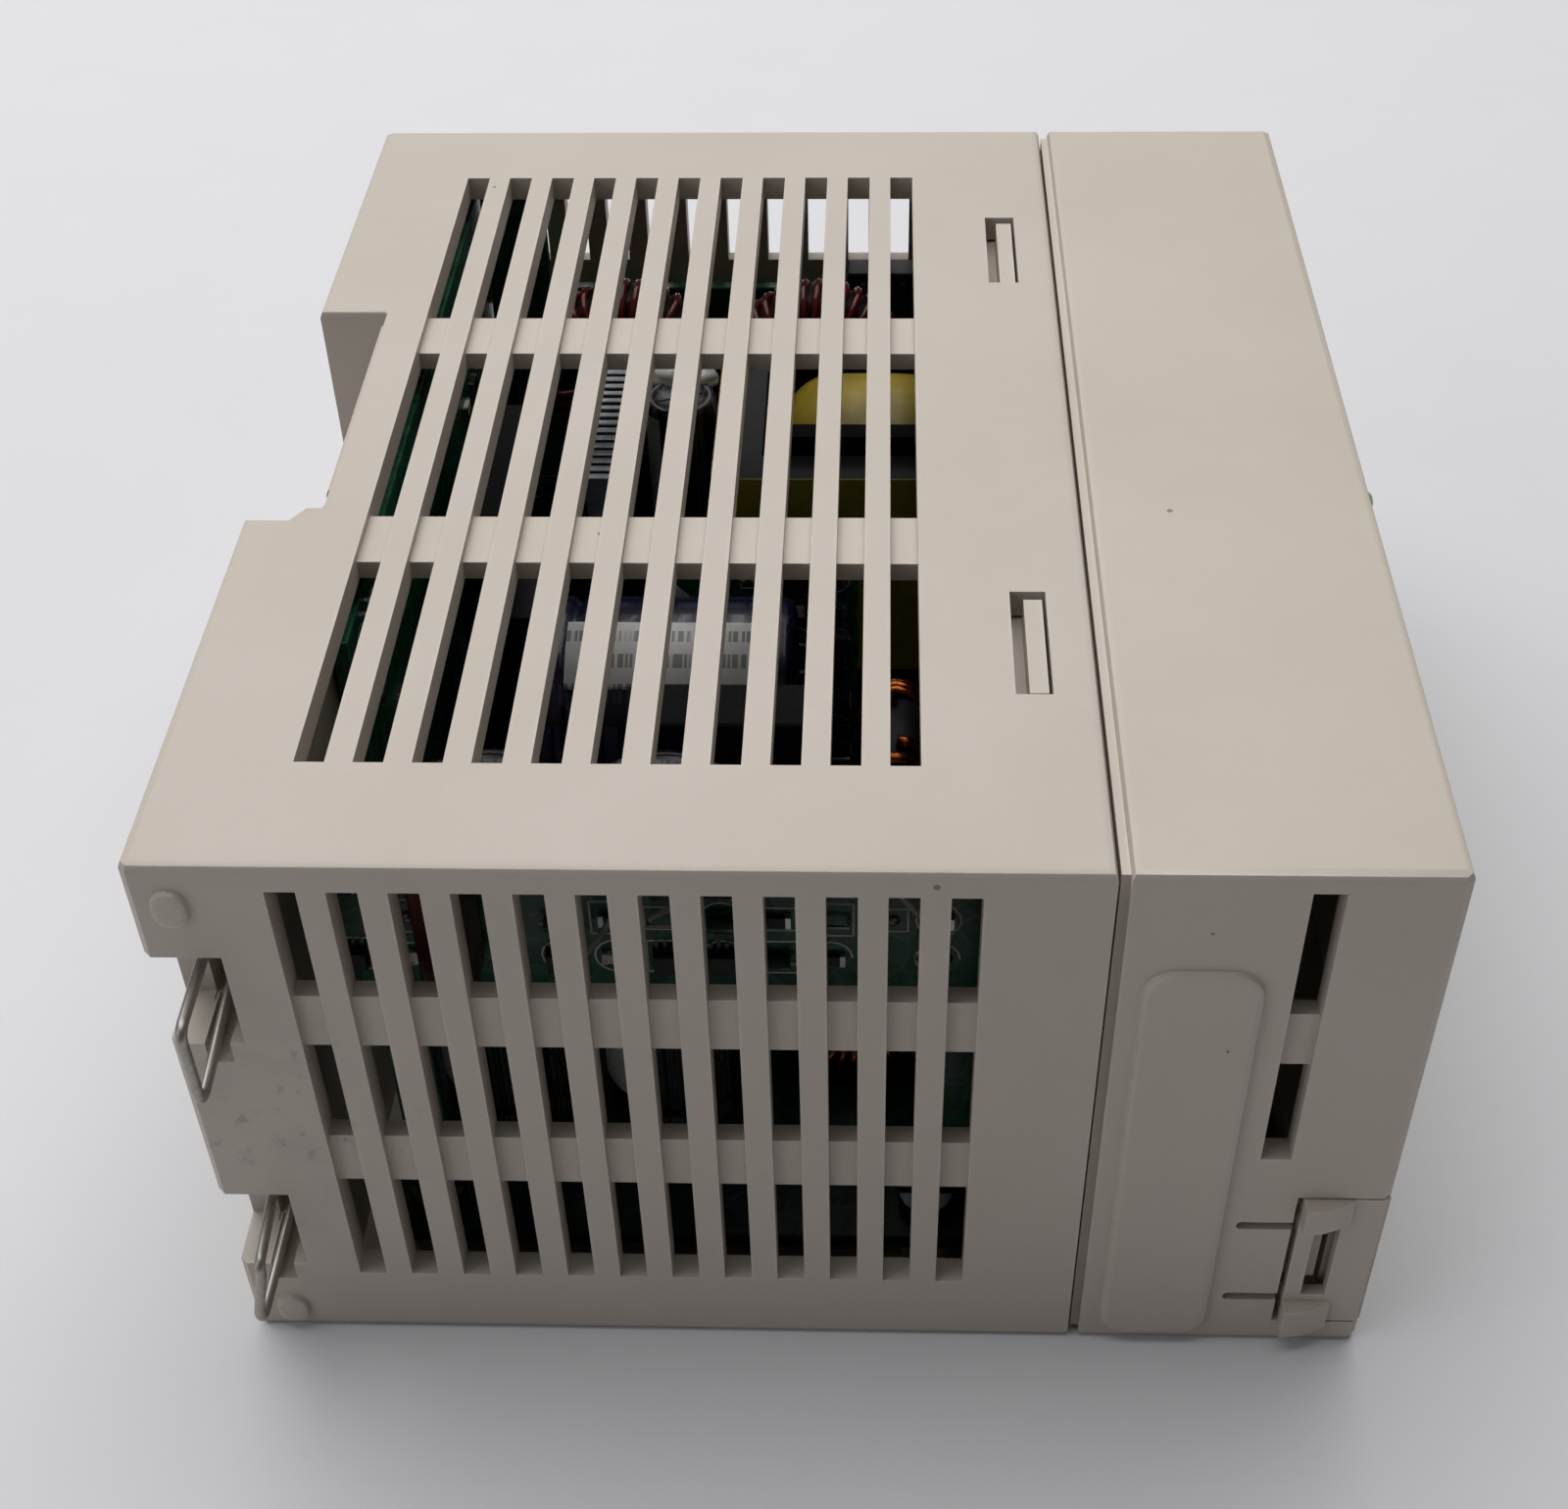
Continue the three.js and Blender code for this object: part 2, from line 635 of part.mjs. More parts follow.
const bulk = { x: [25.5, 50], y: 50.2, z: 34.5, radius: 11 };
addPiece('bulk_capacitor', turnedX([
  [0, 0],
  [bulk.radius - 0.3, 0],
  [bulk.radius, 0.4],
  [bulk.radius, 3],
  [bulk.radius - 0.9, 4],
  [bulk.radius, 5],
  [bulk.radius, bulk.x[1] - bulk.x[0] - 0.6],
  [bulk.radius - 0.8, bulk.x[1] - bulk.x[0]],
  [0, bulk.x[1] - bulk.x[0]],
], [bulk.x[0], bulk.y, bulk.z], 32), 'blueSleeve');
addPiece('capacitor_saddle', cut(
  box([bulk.x[0] + 4, bulk.x[1] - 4], [bulk.y - 8, bulk.y + 8], [partZ, bulk.z - 5]),
  [
    rod('x', [bulk.y, bulk.z], bulk.radius + fit, bulk.x, 32),
    box([bulk.x[0] + 6, bulk.x[1] - 6], [bulk.y - 6.5, bulk.y + 6.5], [0, bulk.z - 14]),
  ],
), 'bobbin');
addPiece('filter_capacitor_1', canZ([23, 24.5], 7.5, 45), 'blackSleeve');
addPiece('filter_capacitor_2', canZ([39, 24.5], 7.5, 45), 'blackSleeve');
addPiece('filter_capacitor_3', canZ([36.9, 83.5], 3.9, 50), 'blackSleeve');
addPiece('output_capacitor', canZ([71, 108], 7.5, 40), 'blackSleeve');
addPiece('film_capacitor', slabY([20, 24.5], [38, 53], [6.2, 12 - rest], 1, 0.4), 'redFilm');
addPiece('mains_filter_capacitor', slabY([35, 53], [partZ, 47], [32.7, 38.7], 1, 0.4), 'greyFilm');

// Transformer

const winding = { x: [48, 66], z: [13, 49], y: [77.9, 90] };
const coreZ = [22, 48];
const coreX = [41, 73];
const coreY = [70.5, 95.8];
const yoke = 4.5;
const legX = [53, 61];
const midY = (coreY[0] + coreY[1]) / 2;
addPiece('transformer_core', joined([
  box(coreX, [coreY[0], coreY[0] + yoke], coreZ),
  box(coreX, [coreY[1] - yoke, coreY[1]], coreZ),
  box([coreX[0], coreX[0] + 5], coreY, coreZ),
  box([coreX[1] - 5, coreX[1]], coreY, coreZ),
  box(legX, coreY, [coreZ[0] + 4, coreZ[1] - 4]),
]), 'ferrite');
const boreZ = [coreZ[0] + 4 - fit, coreZ[1] - 4 + fit];
const boreX = [legX[0] - fit, legX[1] + fit];
const sleeveX = [boreX[0] - 0.8, boreX[1] + 0.8];
const sleeveZ = [boreZ[0] - 0.8, boreZ[1] + 0.8];
const bobbinX = [coreX[0] + 5 + fit, coreX[1] - 5 - fit];
const flange = (y) => box(bobbinX, y, [partZ, winding.z[1] + 1]);
addPiece('transformer_bobbin', cut(
  joined([
    flange([coreY[0] + yoke + fit, winding.y[0] - rest]),
    flange([winding.y[1] + rest, coreY[1] - yoke - fit]),
    box(sleeveX, [coreY[0] + yoke + fit, coreY[1] - yoke - fit], sleeveZ),
  ]),
  [box(boreX, coreY, boreZ)],
), 'bobbin');
addPiece('transformer_winding', cut(
  slabY(winding.x, winding.z, winding.y, 6, 0.6),
  [box([sleeveX[0] - rest, sleeveX[1] + rest], coreY, [sleeveZ[0] - rest, sleeveZ[1] + rest])],
), 'tape');

// Chokes and inductors

const chokeY = 105.8;
const chokeZ = 40;
const chokeX = [29, 51];
const chokeRing = { radius: 7.5, tube: 3.5 };
const chokeReach = chokeRing.radius + chokeRing.tube;
chokeX.forEach((x, i) => {
  const choke = ring('y', [x, chokeY, chokeZ], chokeRing.radius, chokeRing.tube, 20, 8);
  addPiece(`line_choke_${i + 1}`, choke, 'redWire');
});
addPiece('choke_carrier', cut(
  box([25.5, 58], [chokeY - 6, chokeY + 6], [partZ, chokeZ - 8]),
  chokeX.flatMap((x) => [
    rod('y', [x, chokeZ], chokeReach + fit, [chokeY - chokeRing.tube - fit, chokeY + chokeRing.tube + fit], 32),
    box([x - 1, x + 5], [chokeY - 4.5, chokeY + 4.5], [0, chokeZ - 15]),
  ]),
), 'bobbin');
addPiece('output_inductor', ring('x', [60, 45, partZ + 15.1], 11, 4, 24, 8), 'copper');
addPiece('filter_toroid', ring('y', [56, 26, partZ + 9.6], 6.5, 3, 20, 8), 'copper');

// Heat sinks and the devices that they cool

function buildHeatSink(x, out) {
  const y = [62, 88];
  const plate = box(x, y, [partZ, 46]);
  const tabX = out > 0 ? [x[0], x[1] + 4] : [x[0] - 4, x[1]];
  return plate.add(box(tabX, y, [44.4, 46]));
}

addPiece('primary_heat_sink', buildHeatSink([15, 17], 1), 'anodised');
addPiece('secondary_heat_sink', buildHeatSink([80, 82], -1), 'aluminium');
addPiece('switching_transistor', box([17 + rest, 21.5], [68, 82], [14, 32]), 'chip');
addPiece('rectifier_diode', box([75.5, 80 - rest], [68, 82], [14, 32]), 'chip');
addPiece('bridge_rectifier', box([20.5, 24], [97, 117], [partZ, 27]), 'chip');

// Inlet protection

const fuseZ = partZ + 4;
addPiece('fuse', joined([
  rod('x', [50, fuseZ], 2.3, [72, 88], 16),
  rod('x', [50, fuseZ], 2.6, [70, 75], 16),
  rod('x', [50, fuseZ], 2.6, [85, 90], 16),
]), 'glass');
for (const [i, x] of [[1, 71], [2, 86]]) {
  addPiece(`fuse_clip_${i}`, cut(
    box([x, x + 3], [46.2, 53.8], [partZ, fuseZ + 3.2]),
    [
      rod('x', [50, fuseZ], 2.6 + fit, [x - 1, x + 4], 16),
      box([x - 1, x + 4], [48.2, 51.8], [fuseZ, fuseZ + 5]),
    ],
  ), 'screw');
}
addPiece('surge_varistor', rod('x', [12.5, partZ + 6], 6, [72, 76], 20), 'blueDisc');
addPiece('inrush_thermistor', rod('x', [37, partZ + 6], 6, [72, 75.5], 20), 'greenDisc');

// Sensing module: a comb of pins along the top of an upright strip

function buildSensingModule() {
  const x = [29, 30.2];
  const pins = { count: 16, first: 66.2, pitch: 1.42, thick: 0.75 };
  const comb = [box(x, [65, 90], [partZ, 46])];
  for (let i = 0; i < pins.count; i += 1) {
    const y = pins.first + i * pins.pitch;
    comb.push(box([x[0] - 0.5, x[1] + 1], [y, y + pins.thick], [44, 51]));
  }
  return joined(comb);
}

addPiece('sensing_module', buildSensingModule(), 'aluminium');

// The origin lies under the middle of the part, on the face that it rests on.
const bounds = new THREE.Box3().setFromObject(part);
const centre = bounds.getCenter(new THREE.Vector3());
part.position.set(-centre.x, -centre.y, -bounds.min.z);

export default part;
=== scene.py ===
import json
import math
import random

import bmesh
import bpy
from mathutils import Euler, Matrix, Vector, noise


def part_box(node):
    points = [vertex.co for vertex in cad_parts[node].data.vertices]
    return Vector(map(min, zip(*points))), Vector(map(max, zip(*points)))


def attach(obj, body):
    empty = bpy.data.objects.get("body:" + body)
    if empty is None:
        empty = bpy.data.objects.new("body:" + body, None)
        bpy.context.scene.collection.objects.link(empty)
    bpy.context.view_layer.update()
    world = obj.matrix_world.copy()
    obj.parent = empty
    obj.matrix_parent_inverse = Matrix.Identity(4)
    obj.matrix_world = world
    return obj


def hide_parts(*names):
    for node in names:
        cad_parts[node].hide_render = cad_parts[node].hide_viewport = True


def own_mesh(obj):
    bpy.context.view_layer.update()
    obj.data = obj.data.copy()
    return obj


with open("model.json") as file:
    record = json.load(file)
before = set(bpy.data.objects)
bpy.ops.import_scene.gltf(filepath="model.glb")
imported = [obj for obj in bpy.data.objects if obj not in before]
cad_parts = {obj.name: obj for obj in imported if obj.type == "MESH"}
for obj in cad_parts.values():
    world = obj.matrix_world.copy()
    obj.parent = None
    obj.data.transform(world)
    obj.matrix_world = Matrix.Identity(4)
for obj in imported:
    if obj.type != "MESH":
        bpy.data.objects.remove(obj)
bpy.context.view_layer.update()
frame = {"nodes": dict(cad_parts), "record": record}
nodes = frame["nodes"]
mm = 0.001


def tone(code):  # sRGB hex to the linear colour that shaders take
    parts = [int(code[i:i + 2], 16) / 255 for i in (0, 2, 4)]
    return tuple(p / 12.92 if p <= 0.04045 else ((p + 0.055) / 1.055) ** 2.4 for p in parts) + (1,)


# View and light

viewSettings = {
    "place": (5.236 * mm, -179.83 * mm, 174.74 * mm),
    "turn": (46.66, 0.925, 1.68),  # degrees about X, Y and Z
    "lens": 50.58,
    "shift": (-0.0109, 0.0642),
}
lightSettings = {
    "floorColor": "d3d2d3",
    "floorShade": "c2c2c6",
    "skyColor": "e4e8ee",
    "skyStrength": 0.115,
    "backdropStrength": 0.78,
    "fadeFrom": 0.45, "fadeTo": 1.2,  # metres from the middle at which the floor turns into the backdrop
    "aim": (0, 0, 30 * mm),
    "overhead": {"size": 1.55, "watts": 15.9, "place": (-0.14, 0.37, 0.9), "color": "fbfbfc"},
    "side": {"size": 0.7, "watts": 1.6, "place": (-0.8, -0.5, 0.5), "color": "f2f5ff"},
}


def makeCamera():
    data = bpy.data.cameras.new("productCamera")
    data.lens = viewSettings["lens"]
    data.sensor_width = 36
    data.shift_x, data.shift_y = viewSettings["shift"]
    data.clip_start, data.clip_end = 0.01, 20
    camera = bpy.data.objects.new("productCamera", data)
    camera.location = viewSettings["place"]
    camera.rotation_euler = Euler([math.radians(a) for a in viewSettings["turn"]], "XYZ")
    bpy.context.scene.collection.objects.link(camera)
    bpy.context.scene.camera = camera


def makeAreaLight(name, values):
    data = bpy.data.lights.new(name, "AREA")
    data.shape = "DISK"
    data.size = values["size"]
    data.energy = values["watts"]
    data.color = tone(values["color"])[:3]
    light = bpy.data.objects.new(name, data)
    light.location = values["place"]
    aim = Vector(lightSettings["aim"]) - light.location
    light.rotation_euler = aim.to_track_quat("-Z", "Y").to_euler()
    bpy.context.scene.collection.objects.link(light)


def makeStudio():
    world = bpy.data.worlds.new("studioSky")
    world.use_nodes = True
    sky = world.node_tree.nodes["Background"]
    sky.inputs["Color"].default_value = tone(lightSettings["skyColor"])
    tree = Tree(world.node_tree)
    seen = tree.add("ShaderNodeLightPath").outputs["Is Camera Ray"]
    strength = tree.add("ShaderNodeMapRange", Value=seen)  # the backdrop shows paler than it lights
    strength.inputs["To Min"].default_value = lightSettings["skyStrength"]
    strength.inputs["To Max"].default_value = lightSettings["backdropStrength"]
    tree.feed(sky, "Strength", strength.outputs[0])
    bpy.context.scene.world = world
    makeAreaLight("overheadLight", lightSettings["overhead"])
    makeAreaLight("sideLight", lightSettings["side"])
    bpy.context.scene.view_settings.view_transform = "Standard"


# Node helpers

class Tree:  # a short way to place and join shader nodes
    def __init__(self, tree):
        self.tree = tree

    def add(self, kind, settings=None, **inputs):
        node = self.tree.nodes.new(kind)
        for key, value in (settings or {}).items():
            setattr(node, key, value)
        for key, value in inputs.items():
            self.feed(node, key.replace("_", " "), value)
        return node

    def feed(self, node, key, value):
        socket = node.inputs[int(key[1:])] if key[0] == "i" and key[1:].isdigit() else node.inputs[key]
        if isinstance(value, bpy.types.NodeSocket):
            self.tree.links.new(value, socket)
        else:
            socket.default_value = value

    def math(self, operation, a, b=0.0, clamp=False):
        return self.add("ShaderNodeMath", {"operation": operation, "use_clamp": clamp}, i0=a, i1=b).outputs[0]

    def vector(self, operation, a, b=(0, 0, 0)):
        return self.add("ShaderNodeVectorMath", {"operation": operation}, i0=a, i1=b).outputs["Value"]

    def mix(self, factor, a, b):
        node = self.add("ShaderNodeMix", {"data_type": "RGBA"})
        for socket, value in zip((node.inputs[0], node.inputs[6], node.inputs[7]), (factor, a, b)):
            if isinstance(value, bpy.types.NodeSocket):
                self.tree.links.new(value, socket)
            else:
                socket.default_value = value
        return node.outputs[2]

    def noise(self, place, scale, detail=2.0, rough=0.5):
        node = self.add("ShaderNodeTexNoise", Vector=place, Scale=scale, Detail=detail, Roughness=rough)
        return node.outputs["Fac"]

    def ramp(self, value, low, high):  # 0 below low, 1 above high
        node = self.add("ShaderNodeMapRange", {"clamp": True}, Value=value)
        node.inputs["From Min"].default_value = low
        node.inputs["From Max"].default_value = high
        return node.outputs[0]


def makeGroup(name, inputs, outputs):
    group = bpy.data.node_groups.new(name, "ShaderNodeTree")
    for label, kind, value in inputs:
        socket = group.interface.new_socket(name=label, in_out="INPUT", socket_type=kind)
        socket.default_value = value
    for label, kind in outputs:
        group.interface.new_socket(name=label, in_out="OUTPUT", socket_type=kind)
    tree = Tree(group)
    return group, tree, tree.add("NodeGroupInput").outputs, tree.add("NodeGroupOutput")


floatSocket, colorSocket, vectorSocket = "NodeSocketFloat", "NodeSocketColor", "NodeSocketVector"


def makeGrainGroup():  # spark-eroded mould texture with soft blotches of colour
    group, tree, given, result = makeGroup(
        "mouldGrain",
        [("Color", colorSocket, (1, 1, 1, 1)), ("Shade", colorSocket, (0, 0, 0, 1)),
         ("Grain", floatSocket, 3600), ("Blotch", floatSocket, 45), ("Amount", floatSocket, 0.25)],
        [("Color", colorSocket), ("Roughness", floatSocket), ("Height", floatSocket)],
    )
    place = tree.add("ShaderNodeTexCoord").outputs["Object"]
    blotch = tree.noise(place, given["Blotch"], 3.0, 0.6)
    grain = tree.noise(place, given["Grain"], 2.0, 0.6)
    fine = tree.ramp(grain, 0.35, 0.7)
    spread = tree.math("MULTIPLY", tree.ramp(blotch, 0.35, 0.72), given["Amount"])
    speckle = tree.math("MULTIPLY", fine, tree.math("MULTIPLY", given["Amount"], 0.35))
    total = tree.math("ADD", spread, speckle, clamp=True)
    tree.feed(result, "Color", tree.mix(total, given["Color"], given["Shade"]))
    rough = tree.math("ADD", tree.math("MULTIPLY", blotch, 0.14), tree.math("MULTIPLY", fine, 0.08))
    tree.feed(result, "Roughness", rough)
    tree.feed(result, "Height", grain)
    return group


def makeSpeckGroup():  # sparse dark specks and fine lint
    group, tree, given, result = makeGroup(
        "dustSpecks",
        [("Scale", floatSocket, 160), ("Size", floatSocket, 0.06)],
        [("Mask", floatSocket)],
    )
    place = tree.add("ShaderNodeTexCoord").outputs["Object"]
    cells = tree.add("ShaderNodeTexVoronoi", Vector=place, Scale=given["Scale"])
    dot = tree.math("LESS_THAN", cells.outputs["Distance"], given["Size"])
    rare = tree.math("GREATER_THAN", tree.noise(place, 70.0, 1.0), 0.56)
    tree.feed(result, "Mask", tree.math("MULTIPLY", dot, rare))
    return group


def makeEdgeHighlightGroup():  # painted highlight along rounded edges, broken up by noise; the same mask makes the edges a little glossier
    group, tree, given, result = makeGroup(
        "paintedEdgeHighlight",
        [("Radius", floatSocket, 0.5 * mm), ("Amount", floatSocket, 1.0)],
        [("Mask", floatSocket)],
    )
    rounded = tree.add("ShaderNodeBevel", {"samples": 4}, Radius=given["Radius"]).outputs[0]
    flat = tree.add("ShaderNodeNewGeometry").outputs["Normal"]
    turned = tree.vector("DOT_PRODUCT", rounded, flat)
    place = tree.add("ShaderNodeTexCoord").outputs["Object"]
    broken = tree.ramp(tree.noise(place, 220.0, 3.0), 0.35, 0.65)
    # mask of the rounded edges, where the highlight is painted
    edge = tree.ramp(turned, 0.995, 0.9)
    patchyEdgeHighlight = tree.math("MULTIPLY", edge, broken)
    tree.feed(result, "Mask", tree.math("MULTIPLY", patchyEdgeHighlight, given["Amount"], clamp=True))
    return group


def makeScuffGroup():  # grey smears and short scratches, gathered round a point
    group, tree, given, result = makeGroup(
        "scuffMarks",
        [("Centre X", floatSocket, 0), ("Centre Y", floatSocket, 0), ("Centre Z", floatSocket, 0),
         ("Reach", floatSocket, 14 * mm)],
        [("Mask", floatSocket)],
    )
    place = tree.add("ShaderNodeTexCoord").outputs["Object"]
    spots = [given["Centre " + letter] for letter in "XYZ"]
    centre = tree.add("ShaderNodeCombineXYZ", i0=spots[0], i1=spots[1], i2=spots[2]).outputs[0]
    away = tree.vector("DISTANCE", place, centre)
    near = tree.math("SUBTRACT", 1.0, tree.math("DIVIDE", away, given["Reach"]), clamp=True)
    smear = tree.ramp(tree.noise(place, 620.0, 5.0, 0.62), 0.56, 0.7)
    cloud = tree.ramp(tree.noise(place, 120.0, 3.0, 0.55), 0.46, 0.66)
    gathered = tree.math("MULTIPLY", smear, tree.ramp(tree.noise(place, 210.0, 2.0), 0.45, 0.6))
    gathered = tree.math("MULTIPLY", gathered, 0.9)
    both = tree.math("ADD", gathered, tree.math("MULTIPLY", cloud, 0.22), clamp=True)
    tree.feed(result, "Mask", tree.math("MULTIPLY", both, tree.ramp(near, 0.0, 0.6)))
    return group


def makePrintGroup():  # rows of short dashes, such as small print seen from afar
    group, tree, given, result = makeGroup(
        "printRows",
        [("Vector", vectorSocket, (0, 0, 0)), ("Row Pitch", floatSocket, 1.8 * mm),
         ("Fill", floatSocket, 0.5), ("Letters", floatSocket, 2300), ("Words", floatSocket, 150)],
        [("Mask", floatSocket)],
    )
    parts = tree.add("ShaderNodeSeparateXYZ", Vector=given["Vector"]).outputs
    row = tree.math("DIVIDE", parts[1], given["Row Pitch"])
    inRow = tree.math("LESS_THAN", tree.math("FRACT", row), given["Fill"])
    step = tree.math("FLOOR", row)
    line = tree.add("ShaderNodeCombineXYZ", i0=parts[0], i1=step, i2=0.0).outputs[0]
    letters = tree.ramp(tree.noise(line, given["Letters"], 0.0), 0.44, 0.5)
    words = tree.ramp(tree.noise(line, given["Words"], 0.0), 0.42, 0.45)
    tree.feed(result, "Mask", tree.math("MULTIPLY", tree.math("MULTIPLY", inRow, letters), words))
    return group


groups = {
    "grain": makeGrainGroup(),
    "print": makePrintGroup(),
    "specks": makeSpeckGroup(),
    "edge": makeEdgeHighlightGroup(),
    "scuff": makeScuffGroup(),
}


def newMaterial(name):
    material = bpy.data.materials.new(name)
    material.use_nodes = True
    tree = Tree(material.node_tree)
    return material, tree, material.node_tree.nodes["Principled BSDF"]


def place(tree, name, **inputs):  # puts a group in a material
    node = tree.tree.nodes.new("ShaderNodeGroup")
    node.node_tree = groups[name]
    for key, value in inputs.items():
        tree.feed(node, key.replace("_", " "), value)
    return node.outputs


def bump(tree, shader, height, strength, distance):
    node = tree.add("ShaderNodeBump", Strength=strength, Distance=distance, Height=height)
    tree.feed(shader, "Normal", node.outputs[0])


# Materials

caseSettings = {
    "color": "b8aea2",
    "shade": "aba194",
    # lighter colour painted along the rounded edges as a highlight
    "paintedEdgeHighlightColor": "c9c1b6",
    "scuffColor": "645e55",
    "speckColor": "544f47",
    "roughness": 0.48,
    "bump": 0.22,
    "scuffAt": (7 * mm, 0, 31 * mm),  # from the low corner of the rear case
    "scuffReach": 17 * mm,
}


def makeCasePlastic(name, scuffs=True):
    values = caseSettings
    material, tree, shader = newMaterial(name)
    grain = place(tree, "grain", Color=tone(values["color"]), Shade=tone(values["shade"]), Amount=0.3)
    # the rounded edges are painted lighter as a highlight, and made a little glossier
    edge = place(tree, "edge", Radius=0.45 * mm, Amount=0.6)["Mask"]
    specks = place(tree, "specks", Scale=150.0, Size=0.045)["Mask"]
    color = tree.mix(edge, grain["Color"], tone(values["paintedEdgeHighlightColor"]))
    color = tree.mix(tree.math("MULTIPLY", specks, 0.75), color, tone(values["speckColor"]))
    rough = tree.math("ADD", grain["Roughness"], values["roughness"] - 0.1)
    if scuffs:
        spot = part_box("rear_case")[0] + Vector(values["scuffAt"])
        marks = place(tree, "scuff", Centre_X=spot.x, Centre_Y=spot.y, Centre_Z=spot.z,
                      Reach=values["scuffReach"])["Mask"]
        color = tree.mix(tree.math("MULTIPLY", marks, 0.5), color, tone(values["scuffColor"]))
        rough = tree.math("ADD", rough, tree.math("MULTIPLY", marks, 0.1))
    rough = tree.math("SUBTRACT", rough, tree.math("MULTIPLY", edge, 0.12))
    tree.feed(shader, "Base Color", color)
    tree.feed(shader, "Roughness", rough)
    shader.inputs["Specular IOR Level"].default_value = 0.45
    bump(tree, shader, grain["Height"], values["bump"], 0.05 * mm)
    return material


def makePlastic(name, color, shade, roughness, grainSize=2600.0, amount=0.4, coat=0.0, height=0.15,
                shine=0.5):
    material, tree, shader = newMaterial(name)
    grain = place(tree, "grain", Color=tone(color), Shade=tone(shade), Grain=grainSize, Blotch=120.0,
                  Amount=amount)
    tree.feed(shader, "Base Color", grain["Color"])
    tree.feed(shader, "Roughness", tree.math("ADD", grain["Roughness"], roughness - 0.1))
    shader.inputs["Coat Weight"].default_value = coat
    shader.inputs["Specular IOR Level"].default_value = shine
    bump(tree, shader, grain["Height"], height, 0.04 * mm)
    return material


def makeMetal(name, color, shade, roughness, stretch=(1, 1, 1), amount=0.4):
    material, tree, shader = newMaterial(name)
    spot = tree.add("ShaderNodeTexCoord").outputs["Object"]
    lay = tree.add("ShaderNodeMapping", Vector=spot, Scale=stretch).outputs[0]
    lines = tree.noise(lay, 1800.0, 4.0, 0.65)
    cloud = tree.noise(spot, 140.0, 3.0, 0.6)
    streaks = tree.math("ADD", lines, tree.math("MULTIPLY", cloud, 0.6))
    mix = tree.math("MULTIPLY", tree.ramp(streaks, 0.55, 1.1), amount)
    tree.feed(shader, "Base Color", tree.mix(mix, tone(color), tone(shade)))
    tree.feed(shader, "Roughness", tree.math("ADD", tree.math("MULTIPLY", lines, 0.2), roughness - 0.1))
    shader.inputs["Metallic"].default_value = 1.0
    bump(tree, shader, lines, 0.12, 0.02 * mm)
    return material


def makeBoardMask(name, color, track, deep, shine=0.5):  # solder mask over tracks
    material, tree, shader = newMaterial(name)
    spot = tree.add("ShaderNodeTexCoord").outputs["Object"]
    cells = tree.add("ShaderNodeTexVoronoi", {"feature": "DISTANCE_TO_EDGE"}, Vector=spot, Scale=330.0)
    lane = tree.ramp(cells.outputs["Distance"], 0.10, 0.07)
    weave = tree.noise(spot, 1500.0, 2.0)
    body = tree.mix(tree.math("MULTIPLY", lane, 0.5), tone(color), tone(track))
    body = tree.mix(tree.math("MULTIPLY", weave, 0.3), body, tone(deep))
    tree.feed(shader, "Base Color", body)
    tree.feed(shader, "Roughness", tree.math("ADD", tree.math("MULTIPLY", weave, 0.2), 0.22))
    shader.inputs["Specular IOR Level"].default_value = shine
    bump(tree, shader, lane, 0.25, 0.05 * mm)
    return material


def makeLabel(name, turn, rowPitch, ink):  # pale film with rows of plain printed dashes
    material, tree, shader = newMaterial(name)
    spot = tree.add("ShaderNodeTexCoord").outputs["Object"]
    lay = tree.add("ShaderNodeMapping", Vector=spot, Rotation=[math.radians(a) for a in turn]).outputs[0]
    grain = place(tree, "grain", Color=tone("f6f5f3"), Shade=tone("e4e3e1"), Grain=1200.0, Blotch=120.0,
                  Amount=0.25)
    rows = place(tree, "print", Vector=lay, Row_Pitch=rowPitch)["Mask"]
    inked = tree.math("MULTIPLY", rows, ink)
    tree.feed(shader, "Base Color", tree.mix(inked, grain["Color"], tone("26262a")))
    tree.feed(shader, "Roughness", tree.math("ADD", grain["Roughness"], 0.3))
    bump(tree, shader, grain["Height"], 0.1, 0.03 * mm)
    return material


def makeSleeve(name, color, shade, ink, rowPitch, strength):  # shrunk film with faint printing
    material, tree, shader = newMaterial(name)
    spot = tree.add("ShaderNodeTexCoord").outputs["Object"]
    grain = place(tree, "grain", Color=tone(color), Shade=tone(shade), Grain=1500.0, Blotch=90.0, Amount=0.5)
    rows = place(tree, "print", Vector=spot, Row_Pitch=rowPitch)["Mask"]
    inked = tree.math("MULTIPLY", rows, strength)
    tree.feed(shader, "Base Color", tree.mix(inked, grain["Color"], tone(ink)))
    tree.feed(shader, "Roughness", tree.math("ADD", grain["Roughness"], 0.2))
    shader.inputs["Coat Weight"].default_value = 0.2
    bump(tree, shader, grain["Height"], 0.08, 0.04 * mm)
    return material


def makeComb(name):  # bare pins on a dark strip
    material, tree, shader = newMaterial(name)
    spot = tree.add("ShaderNodeTexCoord").outputs["Object"]
    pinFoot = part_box("sensing_module")[1].z - 7 * mm
    height = tree.add("ShaderNodeSeparateXYZ", Vector=spot).outputs[2]
    bare = tree.ramp(height, pinFoot, pinFoot + 0.3 * mm)
    lines = tree.noise(spot, 1600.0, 3.0)
    metal = tree.mix(tree.math("MULTIPLY", lines, 0.5), tone("a3a5a8"), tone("6b6d71"))
    tree.feed(shader, "Base Color", tree.mix(bare, tone("15151a"), metal))
    tree.feed(shader, "Metallic", bare)
    tree.feed(shader, "Roughness", tree.math("ADD", tree.math("MULTIPLY", lines, 0.2), 0.3))
    bump(tree, shader, lines, 0.1, 0.02 * mm)
    return material


def makeClear(name, color, roughness, transmission):
    material, tree, shader = newMaterial(name)
    spot = tree.add("ShaderNodeTexCoord").outputs["Object"]
    cloud = tree.noise(spot, 300.0, 3.0)
    tree.feed(shader, "Base Color", tree.mix(tree.math("MULTIPLY", cloud, 0.3), tone(color), tone("ffffff")))
    tree.feed(shader, "Roughness", tree.math("ADD", tree.math("MULTIPLY", cloud, 0.12), roughness))
    shader.inputs["Transmission Weight"].default_value = transmission
    shader.inputs["IOR"].default_value = 1.5
    return material


